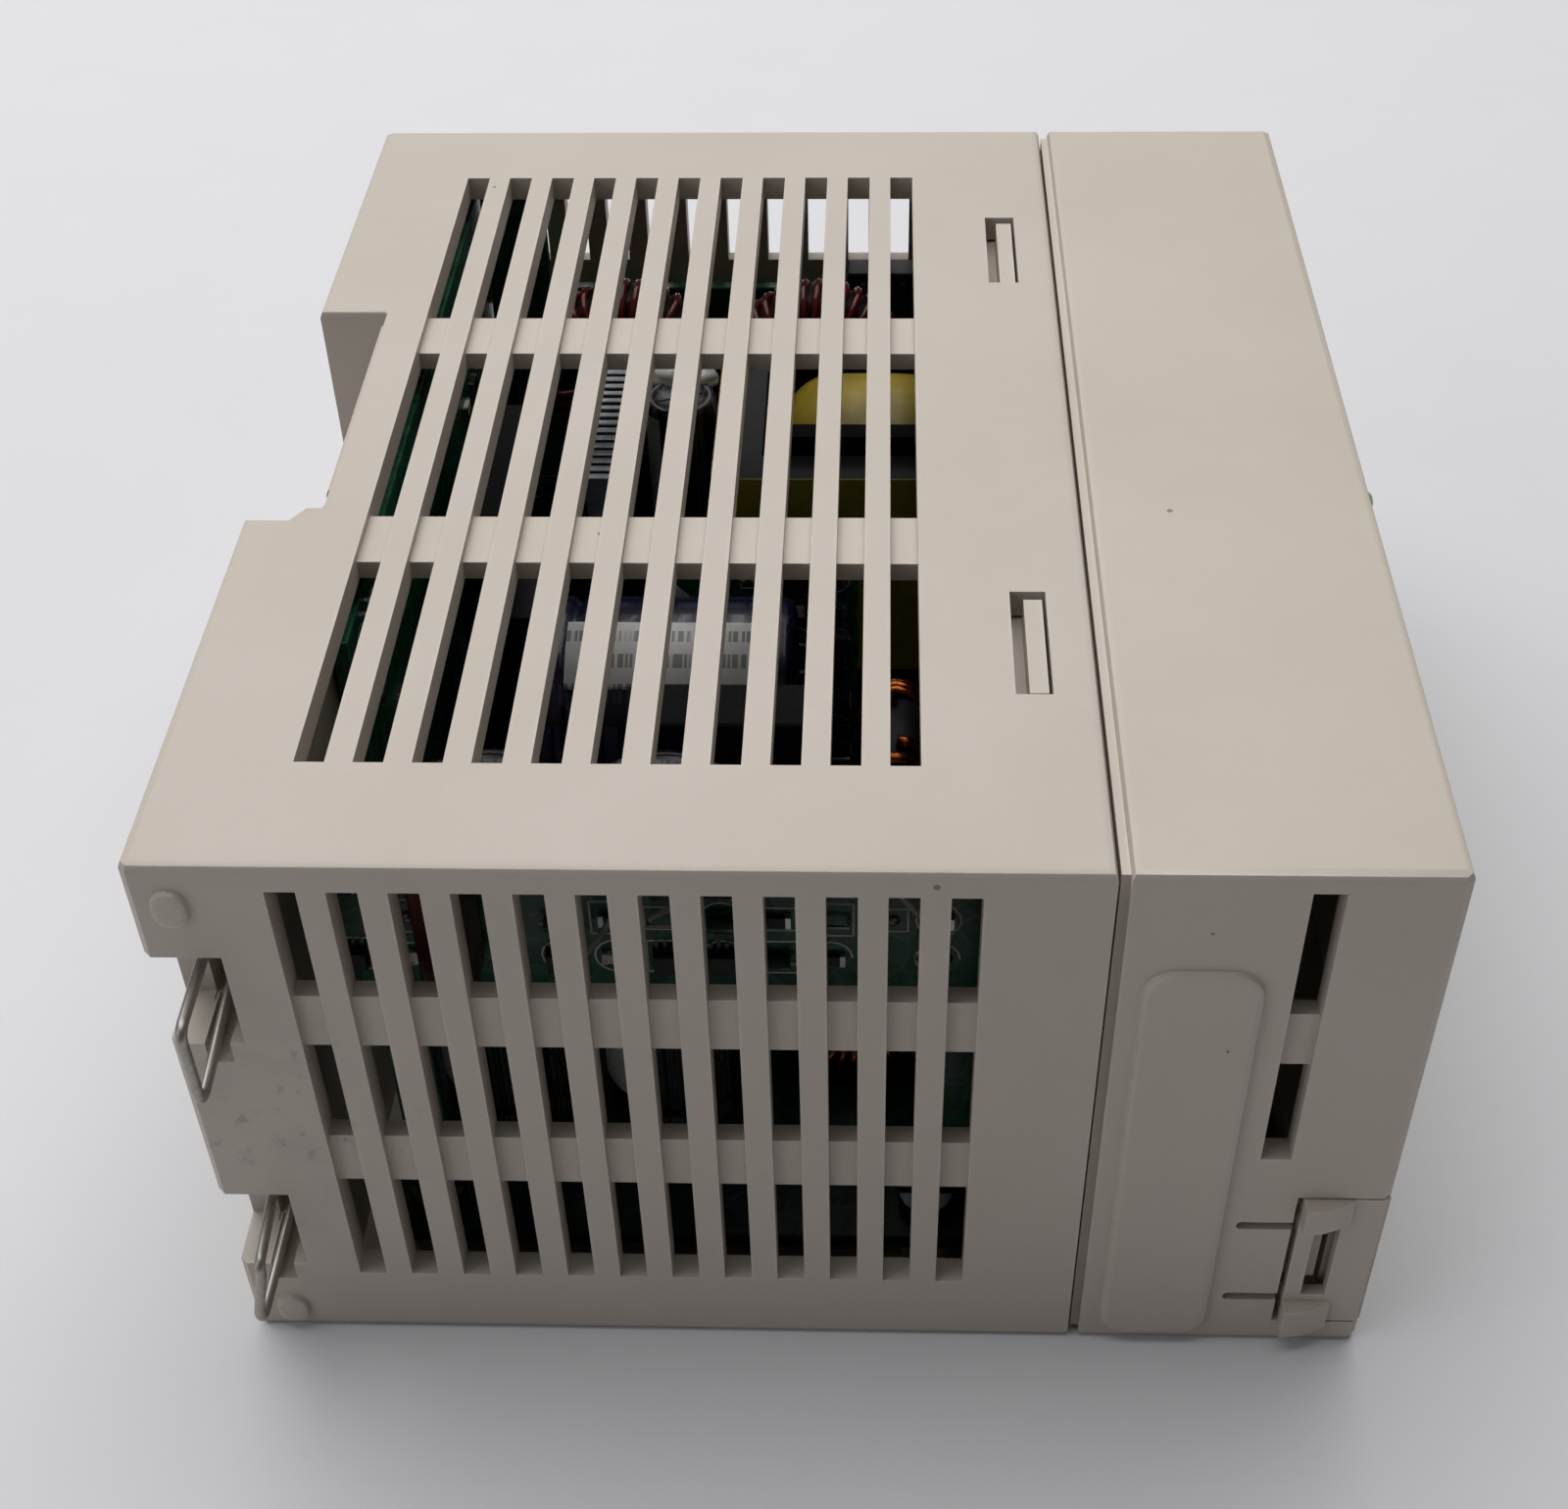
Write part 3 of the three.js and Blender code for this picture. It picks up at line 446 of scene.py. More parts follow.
materials = {
    "case": makeCasePlastic("casePlastic"),
    "cover": makeCasePlastic("coverPlastic", scuffs=False),
    "steel": makeMetal("bentWire", "aaa69e", "77736b", 0.42, (1, 0.08, 1), 0.5),
    "spring": makeMetal("springWire", "9aa0a6", "5c6166", 0.25),
    "board": makeBoardMask("boardMask", "1d5540", "387c5e", "123528"),
    "darkBoard": makeBoardMask("mainBoardMask", "0a2018", "123024", "06140e", 0.1),
    "blueSleeve": makeSleeve("blueSleeve", "10112c", "090a1b", "8a8fb8", 2.6 * mm, 0.12),
    "blackSleeve": makeSleeve("blackSleeve", "141417", "08080a", "8c8c92", 2.2 * mm, 0.3),
    "redFilm": makePlastic("redDippedFilm", "5e2216", "3f150c", 0.35, 500.0, coat=0.4, height=0.2),
    "greyFilm": makePlastic("greyBox", "1b1b1f", "121215", 0.55, 900.0, shine=0.15),
    "comb": makeComb("pinComb"),
    "anodised": makePlastic("blackAnodised", "0e0e12", "08080a", 0.55, 3000.0, 0.4, height=0.1, shine=0.1),
    "blueDisc": makePlastic("blueEpoxy", "2c5fa8", "1e4680", 0.4, 700.0, coat=0.3, height=0.2),
    "greenDisc": makePlastic("greenEpoxy", "1c3b2a", "10261b", 0.4, 700.0, coat=0.3, height=0.2),
    "ferrite": makePlastic("ferrite", "242427", "151517", 0.5, 3500.0, 0.6, height=0.3, shine=0.3),
    "bobbin": makePlastic("bobbinPlastic", "0f0f0f", "080808", 0.6, shine=0.08),
    "tape": makePlastic("windingTape", "c9b036", "9c872a", 0.42, 420.0, 0.6, 0.08, 0.2, shine=0.3),
    "coreTape": makePlastic("coreTape", "a3963a", "7d7229", 0.4, 500.0, 0.5, 0.1, shine=0.3),
    "redWire": makePlastic("redEnamel", "6d1512", "3a0a09", 0.22, 900.0, 0.6, coat=0.6, height=0.05),
    "copper": makeMetal("copperWire", "b8642d", "6e3314", 0.25),
    "aluminium": makeMetal("rolledAluminium", "b9bcc0", "8b8f94", 0.35, (1, 1, 0.05)),
    "chip": makePlastic("mouldedPackage", "1a1a1c", "0f0f11", 0.5),
    "terminal": makePlastic("terminalPlastic", "2a2a28", "1a1a19", 0.45),
    "screw": makeMetal("platedSteel", "c6c6c2", "8d8c86", 0.28),
    "boardScrew": makeMetal("dullSteel", "56575b", "36373b", 0.45),
    "glass": makeClear("fuseGlass", "e6ece9", 0.03, 0.95),
    "lens": makeClear("lampLens", "4fae52", 0.18, 0.35),
    "trimmer": makePlastic("trimmerBlue", "2f5fa0", "234a80", 0.5),
    "rotor": makePlastic("trimmerRotor", "e8e4d8", "d2ccba", 0.5),
    "glue": makePlastic("siliconeGlue", "e4e2dc", "c9c6bd", 0.25, 400.0, 0.3, coat=0.5, height=0.2),
    "label": makeLabel("capacitorLabel", (0, 0, 0), 2.6 * mm, 0.6),
    "frontLabel": makeLabel("frontRatingLabel", (0, -90, -90), 4.2 * mm, 0.45),
    "clearSleeve": makePlastic("paleSleeving", "b9bcbc", "8e9292", 0.35, 900.0, coat=0.3, height=0.1),
    "print": makePlastic("printedInk", "e9ebe6", "cfd2cc", 0.5),
    "solder": makeMetal("solder", "c3c5c6", "84878a", 0.3),
}

nodeFinish = {
    "rear_case": "case", "front_cover": "cover",
    "rail_latch_left": "cover", "rail_latch_right": "cover",
    "input_terminal_door": "cover", "output_terminal_door": "cover",
    "input_terminal_block": "terminal", "output_terminal_block": "terminal",
    "main_board": "darkBoard", "sensing_module": "comb",
    "trimmer_body": "trimmer", "voltage_trimmer": "rotor",
    "board_screw_1": "boardScrew", "board_screw_2": "boardScrew",
    "board_screw_3": "boardScrew", "board_screw_4": "boardScrew",
}
slotFinish = {  # finishes whose slot in the record has another name
    "blue_sleeve": "blueSleeve", "black_sleeve": "blackSleeve", "red_film": "redFilm",
    "grey_film": "greyFilm", "blue_disc": "blueDisc", "green_disc": "greenDisc", "red_wire": "redWire",
}
softening = {  # bevel width and number of steps, by node
    "rear_case": (0.22 * mm, 2), "front_cover": (0.22 * mm, 2),
    "rail_latch_left": (0.2 * mm, 2), "rail_latch_right": (0.2 * mm, 2),
    "input_terminal_door": (0.3 * mm, 3), "output_terminal_door": (0.3 * mm, 3),
}


def softenEdges(obj, width, steps):
    data = obj.data
    if "custom_normal" in data.attributes:
        data.attributes.remove(data.attributes["custom_normal"])
    for polygon in data.polygons:
        polygon.use_smooth = True
    weld = obj.modifiers.new("joinFaces", "WELD")
    weld.merge_threshold = 0.002 * mm
    bevel = obj.modifiers.new("softEdges", "BEVEL")
    bevel.width = width
    bevel.segments = steps
    bevel.limit_method = "ANGLE"
    bevel.angle_limit = math.radians(32)
    bevel.harden_normals = True
    normals = obj.modifiers.new("evenShading", "WEIGHTED_NORMAL")
    normals.keep_sharp = True


def dressNode(name):
    obj = nodes[name]
    slotName = next(s["material_slot"] for s in frame["record"]["subparts"] if s["node"] == name)
    finish = nodeFinish.get(name) or slotFinish.get(slotName, slotName)
    obj.data.materials.clear()
    obj.data.materials.append(materials[finish])
    width, steps = softening.get(name, (0.15 * mm, 1))
    softenEdges(obj, width, steps)


def makeFloor():
    bm = bmesh.new()
    bmesh.ops.create_grid(bm, x_segments=8, y_segments=8, size=2.5)
    data = bpy.data.meshes.new("studioFloor")
    bm.to_mesh(data)
    bm.free()
    floor = bpy.data.objects.new("studioFloor", data)
    bpy.context.scene.collection.objects.link(floor)
    material, tree, shader = newMaterial("paleFloor")
    spot = tree.add("ShaderNodeTexCoord").outputs["Object"]
    cloud = tree.noise(spot, 60.0, 4.0)
    color = tree.mix(tree.math("MULTIPLY", cloud, 0.2), tone(lightSettings["floorColor"]),
                     tone(lightSettings["floorShade"]))
    tree.feed(shader, "Base Color", color)
    shader.inputs["Roughness"].default_value = 0.8
    distance = tree.vector("LENGTH", spot)
    seen = tree.add("ShaderNodeLightPath").outputs["Is Camera Ray"]
    far = tree.ramp(distance, lightSettings["fadeFrom"], lightSettings["fadeTo"])
    fade = tree.math("MULTIPLY", far, seen)
    backdrop = tree.add("ShaderNodeEmission", Color=tone(lightSettings["skyColor"]),
                        Strength=lightSettings["backdropStrength"])
    blend = tree.add("ShaderNodeMixShader", i0=fade, i1=shader.outputs[0], i2=backdrop.outputs[0])
    tree.feed(material.node_tree.nodes["Material Output"], "Surface", blend.outputs[0])
    data.materials.append(material)


# Mesh helpers

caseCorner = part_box("main_board")[0] - Vector((12.5, 5, 6.6)) * mm


def at(x, y, z):  # a point given in millimetres from the corner of the case
    return caseCorner + Vector((x, y, z)) * mm


def pieceName(node):  # filter_board becomes FilterBoard
    return "".join(word.title() for word in node.split("_"))


def finishMesh(name, bm, finishes, body="case", stands=(), smooth=True):
    bmesh.ops.recalc_face_normals(bm, faces=bm.faces)
    data = bpy.data.meshes.new(name)
    bm.to_mesh(data)
    bm.free()
    for polygon in data.polygons:
        polygon.use_smooth = smooth
    for finish in finishes:
        data.materials.append(materials[finish])
    obj = bpy.data.objects.new(name, data)
    bpy.context.scene.collection.objects.link(obj)
    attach(obj, body)
    if stands:
        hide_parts(*stands)
    return obj


def roundEdges(obj, width, steps=2):
    bevel = obj.modifiers.new("roundEdges", "BEVEL")
    bevel.width = width
    bevel.segments = steps
    bevel.limit_method = "ANGLE"
    bevel.angle_limit = math.radians(35)
    bevel.harden_normals = True


def joinRings(bm, near, far, slot=0):  # a band of faces between two closed rings
    count = len(near)
    for k in range(count):
        corners = (near[k], near[(k + 1) % count], far[(k + 1) % count], far[k])
        bm.faces.new(corners).material_index = slot


def roundedCorners(lows, highs, corner, steps):  # round a rectangle: centre of the corner, and the angle
    (lowA, lowB), (highA, highB) = lows, highs
    spots = []
    for a, b, start in ((highA - corner, highB - corner, 0), (lowA + corner, highB - corner, 90),
                        (lowA + corner, lowB + corner, 180), (highA - corner, lowB + corner, 270)):
        spots += [(a, b, math.radians(start + 90 * k / steps)) for k in range(steps + 1)]
    return spots


def sweep(bm, path, radius, sides=10, slot=0):  # a round wire along a list of points
    rings = []
    up = None
    for i, point in enumerate(path):
        along = (path[min(i + 1, len(path) - 1)] - path[max(i - 1, 0)]).normalized()
        up = along.orthogonal() if up is None else up
        up = (up - along * up.dot(along)).normalized()
        side = along.cross(up)
        turns = [2 * math.pi * k / sides for k in range(sides)]
        rings.append([bm.verts.new(point + (up * math.cos(a) + side * math.sin(a)) * radius) for a in turns])
    for ends in (rings[0][::-1], rings[-1]):
        bm.faces.new(ends).material_index = slot
    for near, far in zip(rings, rings[1:]):
        joinRings(bm, near, far, slot)


def lathe(bm, profile, base, axis, sides=48):  # profile rows are radius, height and material slot
    axis = axis.normalized()
    across = axis.orthogonal().normalized()
    other = axis.cross(across)
    rings = []
    for radius, height, _ in profile:
        centre = base + axis * height
        if radius == 0:
            rings.append([bm.verts.new(centre)])
        else:
            turns = [2 * math.pi * k / sides for k in range(sides)]
            out = [across * math.cos(a) + other * math.sin(a) for a in turns]
            rings.append([bm.verts.new(centre + step * radius) for step in out])
    for (near, far), row in zip(zip(rings, rings[1:]), profile[1:]):
        for k in range(sides):
            corners = [near[k % len(near)], near[(k + 1) % len(near)],
                       far[(k + 1) % len(far)], far[k % len(far)]]
            bm.faces.new(list(dict.fromkeys(corners))).material_index = row[2]


def closeBox(bm, corners, slot):  # the six faces over four lower and four upper corners
    for loop in ((3, 2, 1, 0), (4, 5, 6, 7), (0, 1, 5, 4), (1, 2, 6, 5), (2, 3, 7, 6), (3, 0, 4, 7)):
        bm.faces.new([corners[i] for i in loop]).material_index = slot


def block(bm, low, high, slot=0, taper=0.0):  # a box, drawn in towards its high Z by the taper
    corners = []
    for z, inset in ((low.z, 0.0), (high.z, taper)):
        for x, y in ((low.x + inset, low.y + inset), (high.x - inset, low.y + inset),
                     (high.x - inset, high.y - inset), (low.x + inset, high.y - inset)):
            corners.append(bm.verts.new((x, y, z)))
    closeBox(bm, corners, slot)


# Wire pull loops

loopSettings = {
    "wire": 0.48, "leg": 3.6, "legX": 4.3, "legTop": 15.0, "legEnd": 8.4, "reach": -5.8, "corner": 1.4,
    "middleX": 3.8, "above": 4.1, "below": 4.3, "neck": (4.1, 7.0, 0.1),
    "droop": 1.5, "lean": {"right": 0.6, "left": 0.0}, "z": {"right": 14.7, "left": 44.85},
    "cornerSteps": 8, "legSteps": 6, "sides": 16,
}


def makePullLoop(side):
    values = loopSettings
    z, lean = values["z"][side], values["lean"][side]
    reach, corner, droop = values["reach"], values["corner"], values["droop"]
    frontX, backX = values["middleX"] + lean, values["middleX"] - lean
    high, low = z + values["above"] - droop, z - values["below"] - droop
    upper, lower = z + values["leg"], z - values["leg"]
    legX, (neckX, neckY, sink) = values["legX"], values["neck"]
    straight = [
        [(legX, values["legTop"], upper), (legX, values["legEnd"], upper),
         (neckX, neckY, upper - sink), (frontX, reach + corner, high)],
        [(frontX, reach, high - corner), (backX, reach, low + corner)],
        [(backX, reach + corner, low), (neckX, neckY, lower - sink),
         (legX, values["legEnd"], lower), (legX, values["legTop"], lower)],
    ]
    bends = [(frontX, reach, high), (backX, reach, low)]
    path = []
    for part, points in enumerate(straight):
        for a, b in zip(points, points[1:]):
            a, b = Vector(a), Vector(b)
            path += [a.lerp(b, k / values["legSteps"]) for k in range(values["legSteps"])]
        path.append(Vector(points[-1]))
        if part < len(bends):
            start, pull, end = Vector(points[-1]), Vector(bends[part]), Vector(straight[part + 1][0])
            for k in range(1, values["cornerSteps"]):
                t = k / values["cornerSteps"]
                path.append(start.lerp(pull, t).lerp(pull.lerp(end, t), t))
    bm = bmesh.new()
    sweep(bm, [at(*p) for p in path], values["wire"] * mm, values["sides"])
    finishMesh(f"wirePullLoop{side.title()}", bm, ["steel"], f"latch_{side}", [f"pull_loop_{side}"])


# Return springs

springSettings = {
    "x": 4.75, "fixedY": 20.0, "start": 20.3, "end": 31.8, "coil": 1.3, "wire": 0.24, "turns": 7.5,
    "flatTurns": 1.0, "stepsPerTurn": 20, "keep": 0.66,
}


def makeSpring(side):
    values = springSettings
    count = int(values["turns"] * values["stepsPerTurn"])
    z = loopSettings["z"][side]
    flat = values["flatTurns"] / values["turns"]
    path = []
    for i in range(count + 1):
        t = i / count
        rise = min(max((t - flat) / (1 - 2 * flat), 0), 1)  # closed turns at both ends
        flatRise = (min(t, flat) + max(t - 1 + flat, 0)) / (2 * flat)
        share = 0.86 * rise + 0.14 * flatRise
        angle = 2 * math.pi * values["turns"] * t
        path.append(at(values["x"] + values["coil"] * math.cos(angle),
                       values["start"] + share * (values["end"] - values["start"]),
                       z + values["coil"] * math.sin(angle)))
    bm = bmesh.new()
    sweep(bm, path, values["wire"] * mm, 8)
    spring = finishMesh(f"returnSpring{side.title()}", bm, ["spring"], "case", [f"latch_spring_{side}"])
    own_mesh(spring)


# Capacitors

bulkSettings = {
    "baseInset": 1.4, "groove": 3.2, "grooveDepth": 0.8, "sleeveTurn": 1.3, "topDepth": 0.6,
    "labelStart": 2.7, "labelLength": 18.4, "labelFrom": 3, "labelTo": 42, "labelLift": 0.07,
    "labelSteps": 18,
}


def makeBulkCapacitor():
    values = bulkSettings
    low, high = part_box("bulk_capacitor")
    radius = (high.z - low.z) / 2 / mm
    length = (high.x - low.x) / mm
    groove, turn, top = values["groove"], values["sleeveTurn"], length - values["topDepth"]
    profile = [
        (0, 0.5, 2), (radius - values["baseInset"] - 0.6, 0.5, 2), (radius - values["baseInset"], 0.2, 2),
        (radius - values["baseInset"], 0.05, 0), (radius - 0.6, 0.0, 0), (radius, 0.6, 0),
        (radius, groove - 0.9, 0), (radius - 0.25, groove - 0.5, 0),
        (radius - values["grooveDepth"], groove, 0),
        (radius - 0.25, groove + 0.5, 0), (radius, groove + 0.9, 0), (radius, length - 0.9, 0),
        (radius - 0.3, length - 0.25, 0), (radius - turn, length, 0),
        (radius - turn - 0.1, length - 0.15, 0), (radius - turn - 0.2, length - 0.15, 1),
        (radius - 2.0, length - 0.2, 1), (radius - 2.4, top, 1), (0, top, 1),
    ]
    profile = [(r * mm, h * mm, s) for r, h, s in profile]
    axisStart = Vector((low.x, (low.y + high.y) / 2, (low.z + high.z) / 2))
    bm = bmesh.new()
    lathe(bm, profile, axisStart, Vector((1, 0, 0)), 72)
    face = axisStart + Vector((top * mm, 0, 0))
    for angle in (math.pi / 4, 3 * math.pi / 4):  # vent score in the metal top
        arm = Vector((0, math.cos(angle), math.sin(angle))) * (radius - 3.4) * mm
        sweep(bm, [face - arm, face + arm], 0.13 * mm, 6, 1)
    finishMesh("mainsCapacitor", bm, ["blueSleeve", "aluminium", "chip"], "case", ["bulk_capacitor"])

    bm = bmesh.new()
    rows = []
    steps = values["labelSteps"]
    step = (values["labelTo"] - values["labelFrom"]) / steps
    begin = Vector((values["labelStart"] * mm, 0, 0))
    reach = Vector((values["labelLength"] * mm, 0, 0))
    for lift in (values["labelLift"], -0.2):
        row = []
        for i in range(steps + 1):
            angle = math.radians(values["labelFrom"] + step * i)
            out = Vector((0, -math.sin(angle), math.cos(angle))) * (radius + lift) * mm
            start = axisStart + out + begin
            row.append((bm.verts.new(start), bm.verts.new(start + reach)))
        rows.append(row)
    outer, inner = rows
    for i in range(steps):
        bm.faces.new((outer[i][0], outer[i][1], outer[i + 1][1], outer[i + 1][0]))
        bm.faces.new((inner[i][0], inner[i + 1][0], inner[i + 1][1], inner[i][1]))
        for k in (0, 1):
            bm.faces.new((outer[i][k], outer[i + 1][k], inner[i + 1][k], inner[i][k]))
    for i in (0, steps):
        bm.faces.new((outer[i][0], outer[i][1], inner[i][1], inner[i][0]))
    finishMesh("capacitorLabel", bm, ["label"])


canSettings = {
    "groove": 2.6, "grooveDepth": 0.6, "sleeveTurn": 0.9, "topDepth": 0.35, "crossReach": 0.62,
    "stripeFrom": 200, "stripeTo": 238,
    "cans": ["filter_capacitor_1", "filter_capacitor_2", "filter_capacitor_3", "output_capacitor"],
}


def makeCan(node):
    values = canSettings
    low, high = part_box(node)
    radius = (high.x - low.x) / 2 / mm
    length = (high.z - low.z) / mm
    groove, turn, lid = values["groove"], values["sleeveTurn"], length - values["topDepth"]
    profile = [
        (0, 0.3, 2), (radius - 0.8, 0.3, 2), (radius - 0.7, 0, 0), (radius, 0.4, 0),
        (radius, groove - 0.7, 0), (radius - values["grooveDepth"], groove, 0), (radius, groove + 0.7, 0),
        (radius, length - 0.7, 0), (radius - 0.25, length - 0.15, 0), (radius - turn, length, 0),
        (radius - turn - 0.08, length - 0.1, 0), (radius - turn - 0.5, lid, 0), (0, lid, 0),
    ]
    foot = Vector(((low.x + high.x) / 2, (low.y + high.y) / 2, low.z))
    bm = bmesh.new()
    lathe(bm, [(r * mm, h * mm, s) for r, h, s in profile], foot, Vector((0, 0, 1)), 48)
    top = foot + Vector((0, 0, lid * mm))
    for angle in (math.radians(20), math.radians(110)):
        arm = Vector((math.cos(angle), math.sin(angle), 0)) * radius * values["crossReach"] * mm
        sweep(bm, [top - arm, top + arm], 0.1 * mm, 6, 2)
    steps = 6
    stripe = []
    for i in range(steps + 1):  # pale polarity stripe down the sleeve
        angle = math.radians(values["stripeFrom"] + (values["stripeTo"] - values["stripeFrom"]) * i / steps)
        out = Vector((math.cos(angle), math.sin(angle), 0)) * (radius + 0.03) * mm
        stripe.append([bm.verts.new(foot + out + Vector((0, 0, h * mm))) for h in (groove + 1, length - 1.2)])
    for a, b in zip(stripe, stripe[1:]):
        bm.faces.new((a[0], b[0], b[1], a[1])).material_index = 3
    finishMesh("sleeved" + pieceName(node), bm, ["blackSleeve", "aluminium", "chip", "print"], "case", [node])


# Wound rings

toroidSettings = {
    "line_choke_1": {"axis": (0, 1, 0), "wire": 0.5, "turns": 36, "arcs": [(-78, 78), (102, 258)],
                     "finish": "redWire"},
    "line_choke_2": {"axis": (0, 1, 0), "wire": 0.5, "turns": 36, "arcs": [(-78, 78), (102, 258)],
                     "finish": "redWire"},
    "output_inductor": {"axis": (1, 0, 0), "wire": 0.6, "turns": 40, "arcs": [(13, 167), (193, 347)],
                        "finish": "copper"},
    "filter_toroid": {"axis": (0, 1, 0), "wire": 0.45, "turns": 26, "arcs": [(-60, 240)],
                      "finish": "copper"},
}


def makeToroid(node):
    values = toroidSettings[node]
    low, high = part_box(node)
    centre = (low + high) / 2
    axis = Vector(values["axis"])
    tube = (high - low).dot(axis) / 2
    major = (high.z - low.z) / 2 - tube
    up, across = Vector((0, 0, 1)), axis.cross(Vector((0, 0, 1)))
    wire = values["wire"] * mm
    core = tube - 2 * wire - 0.05 * mm
    bm = bmesh.new()
    around, section = 64, 20
    rings = []
    for i in range(around):
        phi = 2 * math.pi * i / around
        out = up * math.cos(phi) + across * math.sin(phi)
        ring = []
        for k in range(section):
            theta = 2 * math.pi * k / section
            square = 1 / max(abs(math.cos(theta)), abs(math.sin(theta))) ** 0.55  # squarish section
            reach = core * min(square, 1.16)
            spot = out * (major + reach * math.cos(theta)) + axis * reach * math.sin(theta)
            ring.append(bm.verts.new(centre + spot))
        rings.append(ring)
    for i in range(around):
        joinRings(bm, rings[i], rings[(i + 1) % around])
    turnsPerDegree = values["turns"] / sum(b - a for a, b in values["arcs"])
    for first, last in values["arcs"]:
        turns = (last - first) * turnsPerDegree
        count = int(turns * 18)
        path = []
        for i in range(count + 1):
            phi = math.radians(first + (last - first) * i / count + random.uniform(-0.25, 0.25))
            theta = 2 * math.pi * turns * i / count
            out = up * math.cos(phi) + across * math.sin(phi)
            reach = tube - wire
            path.append(centre + out * (major + reach * math.cos(theta)) + axis * reach * math.sin(theta))
        sweep(bm, path, wire, 8, 1)
    finishMesh("wound" + pieceName(node), bm, ["ferrite", values["finish"]], "case", [node])


# Transformer tape

tapeSettings = {
    "lift": 0.12, "bulge": 0.55, "corner": 5.2, "rows": 14, "lap": 0.09, "wrinkle": 0.16, "cornerSteps": 8,
}


def makeTapeWrap():
    values = tapeSettings
    low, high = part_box("transformer_winding")
    bm = bmesh.new()
    outer = []
    rows = values["rows"]
    for i in range(rows + 1):
        t = i / rows
        y = low.y + (high.y - low.y) * t
        swell = values["lift"] + values["bulge"] * (1 - (2 * t - 1) ** 4)
        swell += values["lap"] if t > 0.5 else 0.0  # one tape lies over the edge of the other
        ring = []
        corner = values["corner"] * mm
        for cx, cz, angle in roundedCorners(low.xz, high.xz, corner, values["cornerSteps"]):
            away = Vector((math.cos(angle), 0, math.sin(angle)))
            spot = Vector((cx, y, cz)) + away * corner
            ripple = noise.noise(spot * 420) * values["wrinkle"]
            ring.append(bm.verts.new(spot + away * (swell - values["bulge"] + ripple) * mm))
        outer.append(ring)
    for near, far in zip(outer, outer[1:]):
        joinRings(bm, near, far)
    wrap = finishMesh("windingWrap", bm, ["tape"])
    shell = wrap.modifiers.new("tapeThickness", "SOLIDIFY")
    shell.thickness = 0.1 * mm
    shell.offset = 1
    dividing = wrap.modifiers.new("smoothTape", "SUBSURF")
    dividing.levels = dividing.render_levels = 1


coreTapeSettings = {
    "lift": 0.1, "thick": 0.12, "corner": 1.0, "steps": 5, "below": 24.5, "above": 0.15,
    "leadLow": (53.4, 76.0, 48.2), "leadHigh": (58.6, 78.0, 49.7),
}


def makeCoreTape():  # one band round the outside of the core, and the lead tape on its window
    values = coreTapeSettings
    low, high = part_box("transformer_core")
    bm = bmesh.new()
    loops = []
    heights = (high.z - values["below"] * mm, high.z + values["above"] * mm)
    for z, lift in ((heights[0], values["lift"]), (heights[0], values["lift"] + values["thick"]),
                    (heights[1], values["lift"] + values["thick"]), (heights[1], values["lift"])):
        loop = []
        corner = values["corner"] * mm
        reach = corner + lift * mm
        for cx, cy, angle in roundedCorners(low.xy, high.xy, corner, values["steps"]):
            loop.append(bm.verts.new((cx + reach * math.cos(angle), cy + reach * math.sin(angle), z)))
        loops.append(loop)
    for i in range(4):
        joinRings(bm, loops[i], loops[(i + 1) % 4])
    band = finishMesh("coreTape", bm, ["coreTape"])
    roundEdges(band, 0.04 * mm)

    bm = bmesh.new()
    block(bm, at(*values["leadLow"]), at(*values["leadHigh"]), taper=0.25 * mm)
    lead = finishMesh("leadTape", bm, ["redFilm"])
    roundEdges(lead, 0.2 * mm, 3)


# Parts fitted to the boards

boardSettings = {  # low, high and avoid are millimetres along and up the board's face
    "control_board": {"face": "-Y", "cell": 4.6, "fill": 0.8, "tall": 2.2, "seed": 11,
                      "low": (10.5, 36), "high": (67, 53), "avoid": [(18.5, 37, 27, 52.5)]},
    "rear_board": {"face": "+X", "cell": 5.2, "fill": 0.55, "tall": 2.0, "seed": 5,
                   "low": (36, 12), "high": (118, 54), "avoid": [(60, 12, 90, 50)]},
    "driver_board": {"face": "-Y", "cell": 3.9, "fill": 1.0, "tall": 1.2, "seed": 23,
                     "low": (36, 12), "high": (55.5, 46.5), "avoid": [(35, 36, 40.5, 48)],
                     "bars": [([(36.5, 46.7), (36.5, 40.6), (38.6, 38.4), (40.0, 38.4)], 0.6)]},
    "filter_board": {"face": "-Y", "cell": 5.4, "fill": 0.5, "tall": 1.4, "seed": 31,
                     "low": (13, 12), "high": (53, 42), "avoid": [(28, 8, 56, 40)]},
    "main_board": {"face": "+Z", "cell": 5.6, "fill": 0.5, "tall": 2.4, "seed": 7,
                   "low": (14, 7), "high": (92, 118),
                   "avoid": [(12, 4, 21, 14), (12, 111, 21, 121), (58, 4, 68, 14), (58, 111, 68, 121),
                             (19, 96, 58, 120), (28, 38, 47, 60), (34, 31, 58, 39), (14, 15, 49, 33),
                             (34, 60, 58, 66), (55, 28, 66, 62), (45, 21, 67, 31), (45, 68, 70, 96),
                             (62, 98, 80, 118), (69, 5, 92, 57), (14, 60, 21, 90), (72, 60, 84, 90),
                             (27, 62, 34, 92), (31, 78, 42, 90), (82, 4, 94, 121), (12, 4, 94, 24)]},
}


def boardAxes(face):  # along, up and out of the face, as unit vectors
    return {
        "-Y": (Vector((1, 0, 0)), Vector((0, 0, 1)), Vector((0, -1, 0))),
        "+X": (Vector((0, 1, 0)), Vector((0, 0, 1)), Vector((1, 0, 0))),
        "+Z": (Vector((1, 0, 0)), Vector((0, 1, 0)), Vector((0, 0, 1))),
    }[face]


